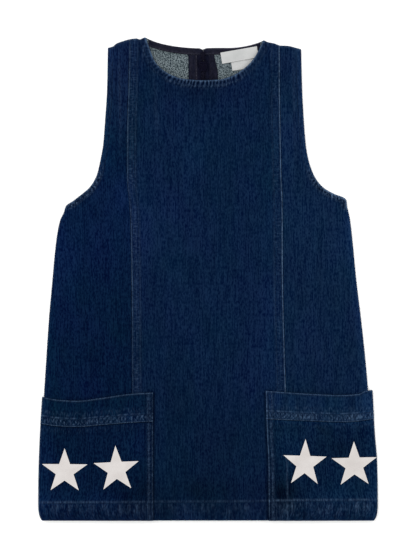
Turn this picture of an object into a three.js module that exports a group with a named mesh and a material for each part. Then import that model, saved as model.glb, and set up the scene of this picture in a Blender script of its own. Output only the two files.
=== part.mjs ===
// A child's sleeveless denim pinafore dress, laid flat on its back with its front facing up.
// Millimetres, +Z up. X runs across the dress and Y from the hem to the neck. The origin is
// under the middle of the dress, on the surface that it lies on.
import * as THREE from 'three';

// Driving dimensions
const dressLength = 520; // from the hem's fold to the higher neck point
const cloth = 1.2; // one layer of denim
const fineCloth = 1.0; // binding, zip tape and label
const seamGap = 0.3; // between pieces that are sewn edge to edge
const layGap = 0.5; // between a piece and the panel that it lies on
const loftedFace = 5.9; // height of the front's outer face over the body
const sideRise = 30; // width over which the front climbs from a side edge
const shoulderRise = 14; // the same, from the shoulder seams
const hemDepth = 19; // turned-up hem
const hemStep = 0.4; // how far the hem's edge stands out
const hemFade = 14; // height over which the front comes down from the hem's extra layers
const edgeStep = 0.9; // width of a small step in a raised edge

const felledSeam = { width: 9.6, raise: 0.8 };
const neck = { leftX: -67.2, leftUp: 520, rightX: 59.5, rightUp: 516.8 };
const backNeckline = { depth: 10.4, power: 2.6, root: 1.2 };
const centreBack = { neckX: -5.5, hemX: 0 };
const binding = { width: 7.2, inset: 3.2 };
const zip = { foot: 322, tapeWidth: 14.4, topFlare: 5, flareLength: 26, halfGap: 0.4 };
const zipSlider = {
  width: 9, footWidth: 6.5, length: 10.5, height: 2.4, corner: 2.2, bevel: 0.5, up: 488.5,
};
const zipNotch = { halfWidth: 4.2, depth: 1.4 };
const mainLabel = { x: 34, up: 500.8, width: 40, height: 12.2, turn: 10 };
const sizeLabel = { x: 37.2, up: 492, width: 24, height: 13, turn: 8.5 };
const pocketEdge = { strip: 7.2, raise: 0.6, hemReach: 8 };
const pocketGape = { height: 2.4, reach: 62, power: 1.4 }; // how a pocket's mouth stands open
const pocketOverSeam = { start: 0.35, reach: 0.25 }; // shares across, climbing the felled seam
const pocketBand = { cloth: 2.0, ridge: 9, ridgeRaise: 0.7 };
const pocketLip = {
  turn: 2.1, foot: 0.5, cornerIn: 0.6, cornerDrop: 0.5, innerIn: 0.2, innerDrop: 0.3, innerSide: 0.9,
};
const star = { radius: 25.9, waist: 0.39, cloth: 1.0, lift: 0.65, rings: [0.3, 0.55, 0.78, 1] };

// The body from hem to shoulder: the side edges and the two lengthwise seams of the front
const bodySections = [
  { up: 0, left: -176.6, leftSeam: -81.2, rightSeam: 84.0, right: 176.6 },
  { up: 4, left: -178.6, leftSeam: -81.2, rightSeam: 84.0, right: 178.2 },
  { up: 14, left: -180.3, leftSeam: -81.3, rightSeam: 83.9, right: 179.6 },
  { up: 50, left: -180.4, leftSeam: -81.4, rightSeam: 83.6, right: 178.6 },
  { up: 80, left: -179.3, leftSeam: -81.5, rightSeam: 83.3, right: 176.5 },
  { up: 110, left: -177.9, leftSeam: -81.6, rightSeam: 83.0, right: 174.5 },
  { up: 135, left: -176.6, leftSeam: -81.6, rightSeam: 82.8, right: 172.8 },
  { up: 172, left: -174.3, leftSeam: -81.7, rightSeam: 81.8, right: 169.6 },
  { up: 215, left: -171.4, leftSeam: -81.8, rightSeam: 80.6, right: 165.0 },
  { up: 258, left: -167.6, leftSeam: -82.2, rightSeam: 79.7, right: 159.8 },
  { up: 301, left: -163.4, leftSeam: -82.8, rightSeam: 79.5, right: 155.6 },
  { up: 322.6, left: -159.3, leftSeam: -83.3, rightSeam: 79.5, right: 153.1 },
  { up: 331.3, left: -155.3, leftSeam: -83.7, rightSeam: 79.4, right: 151.4 },
  { up: 338, left: -153.2, leftSeam: -84.2, rightSeam: 79.3, right: 149.8 },
  { up: 344.2, left: -144.6, leftSeam: -84.8, rightSeam: 79.2, right: 149.2 },
  { up: 347.4, left: -140.5, leftSeam: -85.1, rightSeam: 79.1, right: 146.3 },
  { up: 350.6, left: -136.4, leftSeam: -85.4, rightSeam: 79.0, right: 137.6 },
  { up: 357.1, left: -128.7, leftSeam: -86.2, rightSeam: 78.7, right: 125.7 },
  { up: 363.5, left: -123.7, leftSeam: -86.8, rightSeam: 78.4, right: 119.1 },
  { up: 373.2, left: -119.2, leftSeam: -87.1, rightSeam: 78.0, right: 113.2 },
  { up: 388.3, left: -115.7, leftSeam: -87.1, rightSeam: 77.7, right: 108.1 },
  { up: 403.3, left: -113.0, leftSeam: -87.1, rightSeam: 77.4, right: 105.4 },
  { up: 433.4, left: -110.6, leftSeam: -86.6, rightSeam: 76.8, right: 103.0 },
  { up: 463.5, left: -108.7, leftSeam: -85.6, rightSeam: 76.4, right: 101.4 },
  { up: 509, left: -107.8, leftSeam: -84.6, rightSeam: 76.3, right: 100.2 },
];

// The folded shoulder edge, from the left armhole to the right one
const shoulderPoints = [
  { x: -107.8, up: 508.6 },
  { x: -102.7, up: 510.0 },
  { x: -98.8, up: 513.2 },
  { x: -92, up: 515.7 },
  { x: -83.4, up: 518.0 },
  { x: -76.9, up: 518.7 },
  { x: -73.7, up: 517.8 },
  { x: neck.leftX, up: neck.leftUp },
  { x: neck.rightX, up: neck.rightUp },
  { x: 64.5, up: 514.8 },
  { x: 71.5, up: 513.3 },
  { x: 78, up: 511.1 },
  { x: 84.4, up: 510.9 },
  { x: 100.2, up: 507.2 },
];

// The front neckline between the two neck points
const necklinePoints = [
  { x: neck.leftX, up: neck.leftUp },
  { x: -64.6, up: 509.2 },
  { x: -58.1, up: 494.2 },
  { x: -51.6, up: 487.2 },
  { x: -45.2, up: 482.4 },
  { x: -38.7, up: 479.1 },
  { x: -25.8, up: 475.4 },
  { x: -6, up: 474.1 },
  { x: 12.9, up: 474.9 },
  { x: 25.8, up: 478.5 },
  { x: 32.3, up: 481.7 },
  { x: 38.7, up: 486.1 },
  { x: 45.2, up: 492.0 },
  { x: 51.6, up: 500.6 },
  { x: neck.rightX, up: neck.rightUp },
];

// Soft folds in the front: where each one is, its half sizes along and across, its turn and height
const foldFade = { belowNeck: 90, soft: 60, aboveHem: 40 }; // where the folds die out
const folds = [
  { x: -120, up: 250, along: 120, across: 26, turn: 4, height: 0.35 },
  { x: -45, up: 300, along: 130, across: 30, turn: 2, height: -0.3 },
  { x: 25, up: 210, along: 140, across: 34, turn: -2, height: 0.35 },
  { x: 118, up: 280, along: 110, across: 26, turn: -5, height: 0.35 },
  { x: -15, up: 90, along: 90, across: 32, turn: 0, height: -0.3 },
];

// The pockets: outer edge, inner edge, and the mouth and the band's foot from outer to inner edge
const pockets = [
  {
    side: 'left',
    out: -1,
    edge: [
      { up: 0, outer: 178.6, inner: 59.2 },
      { up: 4, outer: 180.9, inner: 59.3 },
      { up: 13, outer: 182.5, inner: 59.4 },
      { up: 34, outer: 182.8, inner: 59.7 },
      { up: 64, outer: 182.2, inner: 59.7 },
      { up: 95, outer: 180.9, inner: 59.7 },
      { up: 138, outer: 178.3, inner: 59.7 },
    ],
    top: [
      { across: 0, mouth: 132.8, foot: 104.2 },
      { across: 0.14, mouth: 130.0, foot: 101.8 },
      { across: 0.32, mouth: 129.0, foot: 101.2 },
      { across: 0.53, mouth: 131.9, foot: 103.8 },
      { across: 0.8, mouth: 136.4, foot: 106.8 },
      { across: 1, mouth: 137.8, foot: 107.8 },
    ],
    stars: [
      { name: 'star_left_outer', x: -154.0, up: 53.0, turn: 0, wide: 1, tall: 0.965 },
      { name: 'star_left_inner', x: -98.3, up: 55.2, turn: 2.6, wide: 0.985, tall: 0.995 },
    ],
  },
  {
    side: 'right',
    out: 1,
    edge: [
      { up: 0, outer: 178.6, inner: 65.6 },
      { up: 4, outer: 181.0, inner: 65.5 },
      { up: 13, outer: 182.5, inner: 65.3 },
      { up: 34, outer: 182.8, inner: 65.0 },
      { up: 64, outer: 182.1, inner: 64.6 },
      { up: 95, outer: 179.6, inner: 63.6 },
      { up: 140, outer: 177.2, inner: 62.4 },
    ],
    top: [
      { across: 0, mouth: 140.2, foot: 109.4 },
      { across: 0.06, mouth: 139.6, foot: 108.4 },
      { across: 0.14, mouth: 136.0, foot: 107.2 },
      { across: 0.3, mouth: 135.1, foot: 106.3 },
      { across: 0.56, mouth: 136.3, foot: 107.3 },
      { across: 1, mouth: 139.6, foot: 109.4 },
    ],
    stars: [
      { name: 'star_right_inner', x: 104.0, up: 61.6, turn: -1.7, wide: 0.94, tall: 1.02 },
      { name: 'star_right_outer', x: 156.8, up: 59.8, turn: 1, wide: 0.995, tall: 0.985 },
    ],
  },
];

// Heights above the hem at which every panel has a section, the lower ones level
const levels = [
  0, 4, 11, hemDepth - edgeStep, hemDepth, 26, 34, 46, 60, 74, 88, 101, 114, 126, 138, 165, 200,
  235, 270, 305, 323, 332, 338.5, 344, 349, 355, 362, 372, 388, 410, 440,
];
const pocketLevels = levels.filter((up) => up < 90); // the sections of the pockets' own bodies
const upperShares = [0.25, 0.5, 0.75, 0.9, 1]; // sections above the last level, up to the panel's top

const denim = material('#0b1e3b', 0.9, 0);
const pocketDenim = material('#0a1b35', 0.9, 0);
const backDenim = material('#0b1e3b', 0.92, 0);
const navyTape = material('#19182a', 0.8, 0);
const starLeather = material('#d8d3cf', 0.55, 0);
const labelWhite = material('#cfd0cf', 0.7, 0);
const dullMetal = material('#15141f', 0.45, 0.4);

function material(color, roughness, metalness) {
  return new THREE.MeshStandardMaterial({ color, roughness, metalness });
}

function mix(from, to, share) {
  return from + (to - from) * share;
}

function smooth(share) {
  return THREE.MathUtils.smoothstep(share, 0, 1);
}

// A function that reads one column of a table, through its rows with no overshoot between them
function columnOf(table, atKey, key) {
  const at = table.map((row) => row[atKey]);
  const value = table.map((row) => row[key]);
  const last = at.length - 1;
  const rise = [];
  for (let k = 0; k < last; k += 1) {
    rise.push((value[k + 1] - value[k]) / (at[k + 1] - at[k]));
  }
  const slope = value.map((_, k) => {
    const before = rise[Math.max(k - 1, 0)];
    const after = rise[Math.min(k, last - 1)];
    return before * after <= 0 ? 0 : (2 * before * after) / (before + after);
  });
  return (where) => {
    const place = THREE.MathUtils.clamp(where, at[0], at[last]);
    let k = 0;
    while (k < last - 1 && place > at[k + 1]) {
      k += 1;
    }
    const span = at[k + 1] - at[k];
    const t = (place - at[k]) / span;
    const blend = t * t * (3 - 2 * t);
    const startPull = t * (1 - t) * (1 - t) * span * slope[k];
    const endPull = t * t * (1 - t) * span * slope[k + 1];
    return mix(value[k], value[k + 1], blend) + startPull - endPull;
  };
}

const bodyLeft = columnOf(bodySections, 'up', 'left');
const bodyRight = columnOf(bodySections, 'up', 'right');
const leftSeam = columnOf(bodySections, 'up', 'leftSeam');
const rightSeam = columnOf(bodySections, 'up', 'rightSeam');
const shoulderUp = columnOf(shoulderPoints, 'x', 'up');
const frontNeckUp = columnOf(necklinePoints, 'x', 'up');

function isInNeck(x) {
  return x > neck.leftX && x < neck.rightX;
}

function frontTop(x) {
  return isInNeck(x) ? frontNeckUp(x) : shoulderUp(x);
}

function centreBackX(up) {
  return mix(centreBack.hemX, centreBack.neckX, up / dressLength);
}

// The back neckline is the lower half of a squared-off ellipse, with a notch at the zip
function backNeckUp(x) {
  const { depth, power, root } = backNeckline;
  const share = (x - neck.leftX) / (neck.rightX - neck.leftX);
  const fromMiddle = Math.min(Math.abs(2 * share - 1), 1);
  const drop = depth * (1 - fromMiddle ** power) ** (1 / root);
  const fromZip = Math.abs(x - centreBackX(dressLength));
  const notch = zipNotch.depth * smooth(1 - fromZip / zipNotch.halfWidth);
  return mix(neck.leftUp, neck.rightUp, share) - drop - notch;
}

function backTop(x) {
  return isInNeck(x) ? backNeckUp(x) : shoulderUp(x);
}

// 1 in the turned-up hem and 0 above it
function hemShare(up) {
  return smooth((hemDepth - up) / edgeStep + 1e-6);
}

// Height of the front's smooth outer face: it lies on the back at its edges and lofts over the body
function frontFace(x, up) {
  const hemLayers = smooth((hemDepth + hemFade - up) / hemFade);
  const lying = 2 * cloth + seamGap + 2 * cloth * hemLayers;
  const fromSide = Math.min(x - bodyLeft(up), bodyRight(up) - x);
  const fromShoulder = shoulderUp(x) - up;
  const climb = smooth(fromSide / sideRise) * smooth(fromShoulder / shoulderRise);
  const foldsEnd = dressLength - foldFade.belowNeck;
  const creased = smooth((foldsEnd - up) / foldFade.soft) * smooth(up / foldFade.aboveHem);
  return mix(lying, loftedFace, climb) + foldHeight(x, up) * climb * creased;
}

function foldHeight(x, up) {
  let height = 0;
  for (const fold of folds) {
    const turn = THREE.MathUtils.degToRad(fold.turn);
    const dx = x - fold.x;
    const dUp = up - fold.up;
    const along = (dUp * Math.cos(turn) - dx * Math.sin(turn)) / fold.along;
    const across = (dx * Math.cos(turn) + dUp * Math.sin(turn)) / fold.across;
    height += fold.height * Math.exp(-along * along - across * across);
  }
  return height;
}

// A closed wall between an outer and an inner grid of points, each [column][row]
function wallGeometry(outer, inner) {
  const columns = outer.length;
  const rows = outer[0].length;
  const corners = [...outer.flat(), ...inner.flat()];
  const innerStart = columns * rows;
  const outerAt = (i, j) => i * rows + j;
  const innerAt = (i, j) => innerStart + i * rows + j;
  const index = [];
  const quad = (a, b, c, d) => index.push(a, b, c, a, c, d);
  for (let i = 0; i < columns - 1; i += 1) {
    for (let j = 0; j < rows - 1; j += 1) {
      quad(outerAt(i, j), outerAt(i + 1, j), outerAt(i + 1, j + 1), outerAt(i, j + 1));
      quad(innerAt(i, j), innerAt(i, j + 1), innerAt(i + 1, j + 1), innerAt(i + 1, j));
    }
    const end = rows - 1;
    quad(innerAt(i, 0), innerAt(i + 1, 0), outerAt(i + 1, 0), outerAt(i, 0));
    quad(outerAt(i, end), outerAt(i + 1, end), innerAt(i + 1, end), innerAt(i, end));
  }
  for (let j = 0; j < rows - 1; j += 1) {
    const end = columns - 1;
    quad(outerAt(0, j), outerAt(0, j + 1), innerAt(0, j + 1), innerAt(0, j));
    quad(innerAt(end, j), innerAt(end, j + 1), outerAt(end, j + 1), outerAt(end, j));
  }
  const geometry = new THREE.BufferGeometry();
  geometry.setAttribute('position', new THREE.Float32BufferAttribute(corners.flat(), 3));
  geometry.setIndex(index);
  return geometry;
}

function gridOf(columns, rows, pointAt) {
  return columns.map((column) => rows.map((row) => pointAt(column, row)));
}

function rowsOfPanel() {
  const last = levels[levels.length - 1];
  const level = levels.map((up) => ({ up, share: 0 }));
  return [...level, ...upperShares.map((share) => ({ up: last, share }))];
}

// A body panel: each column gives its x at a height, and the panel ends at topOf that column
function panel(name, finish, columns, topOf, faceAt, underAt) {
  const placeOf = (column, row) => {
    const top = topOf(column.x(dressLength));
    const up = mix(row.up, top, row.share);
    return [column.x(up), up];
  };
  const outer = gridOf(columns, rowsOfPanel(), (column, row) => {
    const [x, up] = placeOf(column, row);
    return [x, up, faceAt(x, up, column)];
  });
  const inner = gridOf(columns, rowsOfPanel(), (column, row) => {
    const [x, up] = placeOf(column, row);
    return [x, up, underAt(x, up, column)];
  });
  return namedMesh(name, finish, wallGeometry(outer, inner));
}

function namedMesh(name, finish, geometry) {
  const mesh = new THREE.Mesh(geometry, finish);
  mesh.name = name;
  return mesh;
}

function columnsBetween(fromX, toX, shares) {
  return shares.map((share) => ({ x: (up) => mix(fromX(up), toX(up), share), raised: 0 }));
}

// Front panels

function frontWall(name, columns) {
  const faceAt = (x, up, column) => frontFace(x, up) + column.raised + hemStep * hemShare(up);
  const underAt = (x, up) => frontFace(x, up) - cloth - (cloth - hemStep) * hemShare(up);
  return panel(name, denim, columns, frontTop, faceAt, underAt);
}

function frontSides() {
  const shares = [0, 0.035, 0.08, 0.14, 0.22, 0.34, 0.5, 0.72, 1];
  const leftEnd = (up) => leftSeam(up) - seamGap / 2;
  const rightStart = (up) => rightSeam(up) + seamGap / 2;
  const fromRight = [...shares].reverse().map((share) => 1 - share);
  return [
    frontWall('front_side_left', columnsBetween(bodyLeft, leftEnd, shares)),
    frontWall('front_side_right', columnsBetween(rightStart, bodyRight, fromRight)),
  ];
}

// The middle of the front carries both felled seams, raised along its edges
function frontCentre() {
  const { width, raise } = felledSeam;
  const innerStart = (up) => leftSeam(up) + width + edgeStep;
  const innerEnd = (up) => rightSeam(up) - width - edgeStep;
  const neckSpan = innerEnd(dressLength) - innerStart(dressLength);
  const shareOf = (x) => (x - innerStart(dressLength)) / neckSpan;
  const between = [0.012, 0.035, 0.075, 0.13, 0.2, 0.29, 0.39, 0.5].map((share) => [
    mix(shareOf(neck.leftX), shareOf(neck.rightX), share),
    mix(shareOf(neck.leftX), shareOf(neck.rightX), 1 - share),
  ]);
  const neckShares = [shareOf(neck.leftX), shareOf(neck.rightX), ...between.flat()];
  const inner = [...new Set([0, ...neckShares, 1])].sort((a, b) => a - b);
  const columns = [
    { x: (up) => leftSeam(up) + seamGap / 2, raised: raise },
    { x: (up) => leftSeam(up) + width, raised: raise },
    ...columnsBetween(innerStart, innerEnd, inner),
    { x: (up) => rightSeam(up) - width, raised: raise },
    { x: (up) => rightSeam(up) - seamGap / 2, raised: raise },
  ];
  return frontWall('front_centre', columns);
}

// Back panels, flat underneath where the dress rests

function backWall(name, columns) {
  const faceAt = (x, up) => cloth + cloth * hemShare(up);
  const underAt = () => 0;
  return panel(name, backDenim, columns, backTop, faceAt, underAt);
}

function backs() {
  const leftEnd = (up) => centreBackX(up) - seamGap / 2;
  const rightStart = (up) => centreBackX(up) + seamGap / 2;
  const neckShare = (edge, end, neckX) =>
    (neckX - edge(dressLength)) / (end(dressLength) - edge(dressLength));
  const leftNeck = neckShare(bodyLeft, leftEnd, neck.leftX);
  const rightNeck = neckShare(bodyRight, rightStart, neck.rightX);
  const sharesAround = (neckAt) => [
    0, 0.09, 0.24, neckAt, ...[0.06, 0.2, 0.45, 0.75, 0.93, 0.965, 1].map((s) => mix(neckAt, 1, s)),
  ];
  const rightColumns = columnsBetween(bodyRight, rightStart, sharesAround(rightNeck)).reverse();
  return [
    backWall('back_left', columnsBetween(bodyLeft, leftEnd, sharesAround(leftNeck))),
    backWall('back_right', rightColumns),
  ];
}

// Pieces inside the back of the neck

// A flat piece of fine cloth with its underside at a height
function flatPiece(name, finish, columns, rows, pointAt, base) {
  const at = (height) => (column, row) => [...pointAt(column, row), height];
  const outer = gridOf(columns, rows, at(base + fineCloth));
  const inner = gridOf(columns, rows, at(base));
  return namedMesh(name, finish, wallGeometry(outer, inner));
}

const onBack = cloth + seamGap; // underside of what lies on the inside of the back
const onBinding = onBack + fineCloth + seamGap;

function bindings() {
  const middle = centreBackX(dressLength);
  const shares = [0, 0.1, 0.22, 0.36, 0.52, 0.7, 0.86, 0.93, 1];
  const strip = (name, fromX, toX) => {
    const columns = shares.map((share) => mix(fromX, toX, share)).sort((a, b) => a - b);
    const pointAt = (x, depth) => [x, backNeckUp(x) - depth];
    return flatPiece(name, navyTape, columns, [binding.width, 0], pointAt, onBack);
  };
  return [
    strip('neck_binding_left', neck.leftX + binding.inset, middle - seamGap / 2),
    strip('neck_binding_right', neck.rightX - binding.inset, middle + seamGap / 2),
  ];
}

function zipTapes() {
  const top = backNeckUp(centreBackX(dressLength)) - binding.width - 2 * zipNotch.depth;
  const rows = [zip.foot, mix(zip.foot, top, 0.5), top - zip.flareLength, top];
  const tape = (name, out, columns) => {
    const pointAt = (share, up) => {
      const flared = smooth((up - top) / zip.flareLength + 1);
      const flare = out > 0 ? zip.topFlare * flared : 0;
      const wide = zip.halfGap + share * (zip.tapeWidth - flare);
      return [centreBackX(up) + out * wide, up];
    };
    return flatPiece(name, navyTape, columns, rows, pointAt, onBack);
  };
  return [tape('zip_tape_left', -1, [1, 0.5, 0]), tape('zip_tape_right', 1, [0, 0.5, 1])];
}

// The slider's body: a rounded block, narrower at its foot, across both tapes
function zipSliderBody() {
  const { width, footWidth, length, height, corner, bevel, up } = zipSlider;
  const half = width / 2;
  const foot = footWidth / 2;
  const outline = new THREE.Shape();
  outline.moveTo(-foot + corner, 0);
  outline.lineTo(foot - corner, 0);
  outline.quadraticCurveTo(foot, 0, foot, corner);
  outline.lineTo(half, length - corner);
  outline.quadraticCurveTo(half, length, half - corner, length);
  outline.lineTo(-half + corner, length);
  outline.quadraticCurveTo(-half, length, -half, length - corner);
  outline.lineTo(-foot, corner);
  outline.quadraticCurveTo(-foot, 0, -foot + corner, 0);
  const geometry = new THREE.ExtrudeGeometry(outline, {
    depth: height - 2 * bevel,
    curveSegments: 3,
    bevelThickness: bevel,
    bevelSize: bevel,
    bevelOffset: -bevel,
    bevelSegments: 1,
  });
  const mesh = namedMesh('zip_slider', dullMetal, geometry);
  mesh.position.set(centreBackX(up), up - length / 2, onBinding + bevel);
  return mesh;
}

function label(name, spec, base) {
  const turn = THREE.MathUtils.degToRad(spec.turn);
  const shares = [-0.5, 0, 0.5];
  const pointAt = (across, along) => {
    const x = across * spec.width;
    const y = along * spec.height;
    return [
      spec.x + x * Math.cos(turn) - y * Math.sin(turn),
      spec.up + x * Math.sin(turn) + y * Math.cos(turn),
    ];
  };
  return flatPiece(name, labelWhite, shares, shares, pointAt, base);
}

// Pockets

// The places and heights that one pocket's body, band and stars share
function pocketShape(pocket) {
  const outerX = columnOf(pocket.edge, 'up', 'outer');
  const innerX = columnOf(pocket.edge, 'up', 'inner');
  const mouth = columnOf(pocket.top, 'across', 'mouth');
  const foot = columnOf(pocket.top, 'across', 'foot');
  const xAt = (across, up) => pocket.out * mix(outerX(up), innerX(up), across);
  const acrossAt = (x, up) => (outerX(up) - pocket.out * x) / (outerX(up) - innerX(up));
  const under = (x, up) => {
    const across = THREE.MathUtils.clamp(acrossAt(x, up), 0, 1);
    const seamShare = (across - pocketOverSeam.start) / pocketOverSeam.reach;
    const overSeam = felledSeam.raise * smooth(seamShare);
    const hemRise = hemStep * smooth((hemDepth - up) / pocketEdge.hemReach + 1);
    const open = smooth(1 - (mouth(across) - up) / pocketGape.reach);
    const gape = pocketGape.height * open * Math.sin(Math.PI * across) ** pocketGape.power;
    return frontFace(insideBody(x, up), up) + layGap + overSeam + hemRise + gape;
  };
  return { ...pocket, outerX, innerX, mouth, foot, xAt, under };
}

function insideBody(x, up) {
  return THREE.MathUtils.clamp(x, bodyLeft(up), bodyRight(up));
}

// A pocket wall from its outer edge, which turns down round the side of the body, to its inner edge
function pocketWall(name, shape, rows, thick, raiseAt) {
  const { out, outerX, innerX } = shape;
  const strip = pocketEdge.strip;
  const flat = [
    0.03, 0.055, 0.085, 0.12, 0.155, 0.19, 0.225, 0.265, 0.31, 0.36, 0.42, 0.48, 0.54, 0.6, 0.67,
    0.74, 0.82,
  ];
  const sections = [
    { across: 0, lip: 'foot' },
    { across: 0, lip: 'side' },
    { across: 0, lip: 'corner' },
    { across: 0, lip: 'top' },
    ...flat.map((across) => ({ across })),
    { fromInner: strip + edgeStep },
    { fromInner: strip, raised: pocketEdge.raise },
    { fromInner: 0, raised: pocketEdge.raise },
  ];
  const placeOf = (section, row) => {
    if (section.fromInner === undefined) {
      const up = row(section.across);
      return [shape.xAt(section.across, up), up];
    }
    const upThere = row(1);
    const wide = outerX(upThere) - innerX(upThere);
    const up = row(1 - section.fromInner / wide);
    return [out * (innerX(up) + section.fromInner), up];
  };
  const lipPoint = (section, up, isOuter) => {
    const edge = outerX(up);
    const { turn, foot, cornerIn, cornerDrop, innerIn, innerDrop, innerSide } = pocketLip;
    const base = shape.under(out * (edge - turn), up);
    const face = base + thick;
    const innerEdge = edge - cloth;
    const lips = {
      foot: isOuter ? [edge, foot] : [innerEdge, foot],
      side: isOuter ? [edge, face - turn] : [innerEdge, base - innerSide],
      corner: isOuter ? [edge - cornerIn, face - cornerDrop] : [innerEdge - innerIn, base - innerDrop],
      top: isOuter ? [edge - turn, face] : [edge - turn, base],
    };
    const [x, z] = lips[section.lip];
    return [out * x, up, z];
  };
  const pointOf = (isOuter) => (section, row) => {
    const [x, up] = placeOf(section, row);
    if (section.lip) {
      return lipPoint(section, up, isOuter);
    }
    const raised = (section.raised ?? 0) + raiseAt(up, section.across ?? 1);
    return [x, up, shape.under(x, up) + (isOuter ? thick + raised : 0)];
  };
  const ordered = out > 0 ? [...sections].reverse() : sections;
  const geometry = wallGeometry(
    gridOf(ordered, rows, pointOf(true)),
    gridOf(ordered, rows, pointOf(false)),
  );
  return namedMesh(name, pocketDenim, geometry);
}

function pocketPieces(pocket) {
  const shape = pocketShape(pocket);
  const bodyRows = [
    ...pocketLevels.map((up) => () => up),
    (across) => shape.foot(across) - seamGap,
  ];
  const bandRows = [
    (across) => shape.foot(across),
    (across) => shape.foot(across) + pocketBand.ridge - edgeStep,
    (across) => shape.foot(across) + pocketBand.ridge,
    (across) => mix(shape.foot(across) + pocketBand.ridge, shape.mouth(across), 0.5),
    (across) => shape.mouth(across),
  ];
  const hemRaise = (up) => hemStep * hemShare(up) * 0.5;
  const ridgeRaise = (up, across) => {
    const isRidge = up < shape.foot(across) + pocketBand.ridge - edgeStep / 2;
    return isRidge ? pocketBand.ridgeRaise : 0;
  };
  return [
    pocketWall(`pocket_${pocket.side}`, shape, bodyRows, cloth, hemRaise),
    pocketWall(`pocket_band_${pocket.side}`, shape, bandRows, pocketBand.cloth, ridgeRaise),
    ...pocket.stars.map((spec) => starPatch(spec, shape)),
  ];
}

// A five-pointed star patch that follows the face of its pocket
function starPatch(spec, shape) {
  const points = 10;
  const turn = THREE.MathUtils.degToRad(spec.turn);
  const flatOutline = [];
  for (let k = 0; k < points; k += 1) {
    const reach = star.radius * (k % 2 ? star.waist : 1);
    const angle = Math.PI / 2 + turn + (k * 2 * Math.PI) / points;
    const next = star.radius * (k % 2 ? 1 : star.waist);
    const nextAngle = angle + (2 * Math.PI) / points;
    const here = [spec.wide * reach * Math.cos(angle), spec.tall * reach * Math.sin(angle)];
    const there = [spec.wide * next * Math.cos(nextAngle), spec.tall * next * Math.sin(nextAngle)];
    flatOutline.push(here, [mix(here[0], there[0], 0.5), mix(here[1], there[1], 0.5)]);
  }
  const around = flatOutline.length;
  const levelOf = (x, up) => shape.under(x, up) + cloth + star.lift;
  const corners = [];
  for (const lift of [star.cloth, 0]) {
    corners.push([spec.x, spec.up, levelOf(spec.x, spec.up) + lift]);
    for (const ring of star.rings) {
      for (const [dx, dUp] of flatOutline) {
        const x = spec.x + ring * dx;
        const up = spec.up + ring * dUp;
        corners.push([x, up, levelOf(x, up) + lift]);
      }
    }
  }
  const layer = 1 + star.rings.length * around;
  const at = (side, ring, k) => side * layer + 1 + ring * around + (k % around);
  const index = [];
  for (let k = 0; k < around; k += 1) {
    index.push(0, at(0, 0, k), at(0, 0, k + 1));
    index.push(layer, at(1, 0, k + 1), at(1, 0, k));
    for (let ring = 0; ring < star.rings.length - 1; ring += 1) {
      const top = [at(0, ring, k), at(0, ring + 1, k), at(0, ring + 1, k + 1), at(0, ring, k + 1)];
      const foot = [at(1, ring, k), at(1, ring, k + 1), at(1, ring + 1, k + 1), at(1, ring + 1, k)];
      for (const [a, b, c, d] of [top, foot]) {
        index.push(a, b, c, a, c, d);
      }
    }
    const edge = star.rings.length - 1;
    index.push(at(1, edge, k), at(1, edge, k + 1), at(0, edge, k + 1));
    index.push(at(1, edge, k), at(0, edge, k + 1), at(0, edge, k));
  }
  const geometry = new THREE.BufferGeometry();
  geometry.setAttribute('position', new THREE.Float32BufferAttribute(corners.flat(), 3));
  geometry.setIndex(index);
  return namedMesh(spec.name, starLeather, geometry);
}

const dress = new THREE.Group();
dress.add(
  ...backs(),
  ...bindings(),
  ...zipTapes(),
  zipSliderBody(),
  label('label_size', sizeLabel, onBack),
  label('label_main', mainLabel, onBinding),
  frontCentre(),
  ...frontSides(),
  ...pockets.flatMap(pocketPieces),
);
dress.position.y = -dressLength / 2;

export default dress;
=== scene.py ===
import bpy
import numpy as np
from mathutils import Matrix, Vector


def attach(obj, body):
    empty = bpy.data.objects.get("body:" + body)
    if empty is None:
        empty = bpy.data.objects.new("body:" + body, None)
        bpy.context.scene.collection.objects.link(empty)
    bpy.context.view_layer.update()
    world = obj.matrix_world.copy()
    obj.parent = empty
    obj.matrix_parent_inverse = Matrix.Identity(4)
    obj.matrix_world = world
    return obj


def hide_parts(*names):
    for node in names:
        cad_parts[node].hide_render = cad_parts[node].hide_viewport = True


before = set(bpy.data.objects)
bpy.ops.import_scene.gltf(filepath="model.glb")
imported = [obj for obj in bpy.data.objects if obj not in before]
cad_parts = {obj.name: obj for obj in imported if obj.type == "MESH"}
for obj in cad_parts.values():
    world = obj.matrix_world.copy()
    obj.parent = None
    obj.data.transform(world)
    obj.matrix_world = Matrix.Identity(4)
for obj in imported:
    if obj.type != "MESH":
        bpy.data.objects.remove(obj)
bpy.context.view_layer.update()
print("frame loaded:", len(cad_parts), "nodes")

# The dress's own measures, in millimetres
dress = {
    "length": 520.0, "cloth": 1.2, "fine": 1.0, "seamGap": 0.3, "layGap": 0.5, "loft": 5.9,
    "sideRise": 30.0, "shoulderRise": 14.0, "hem": 19.0, "hemStep": 0.4, "hemRise": 14.0,
    "step": 0.9,  # width of a small step in a raised edge
    "roll": 0.6,  # radius of a folded edge
}
gapHalf = dress["seamGap"] / 2

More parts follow.
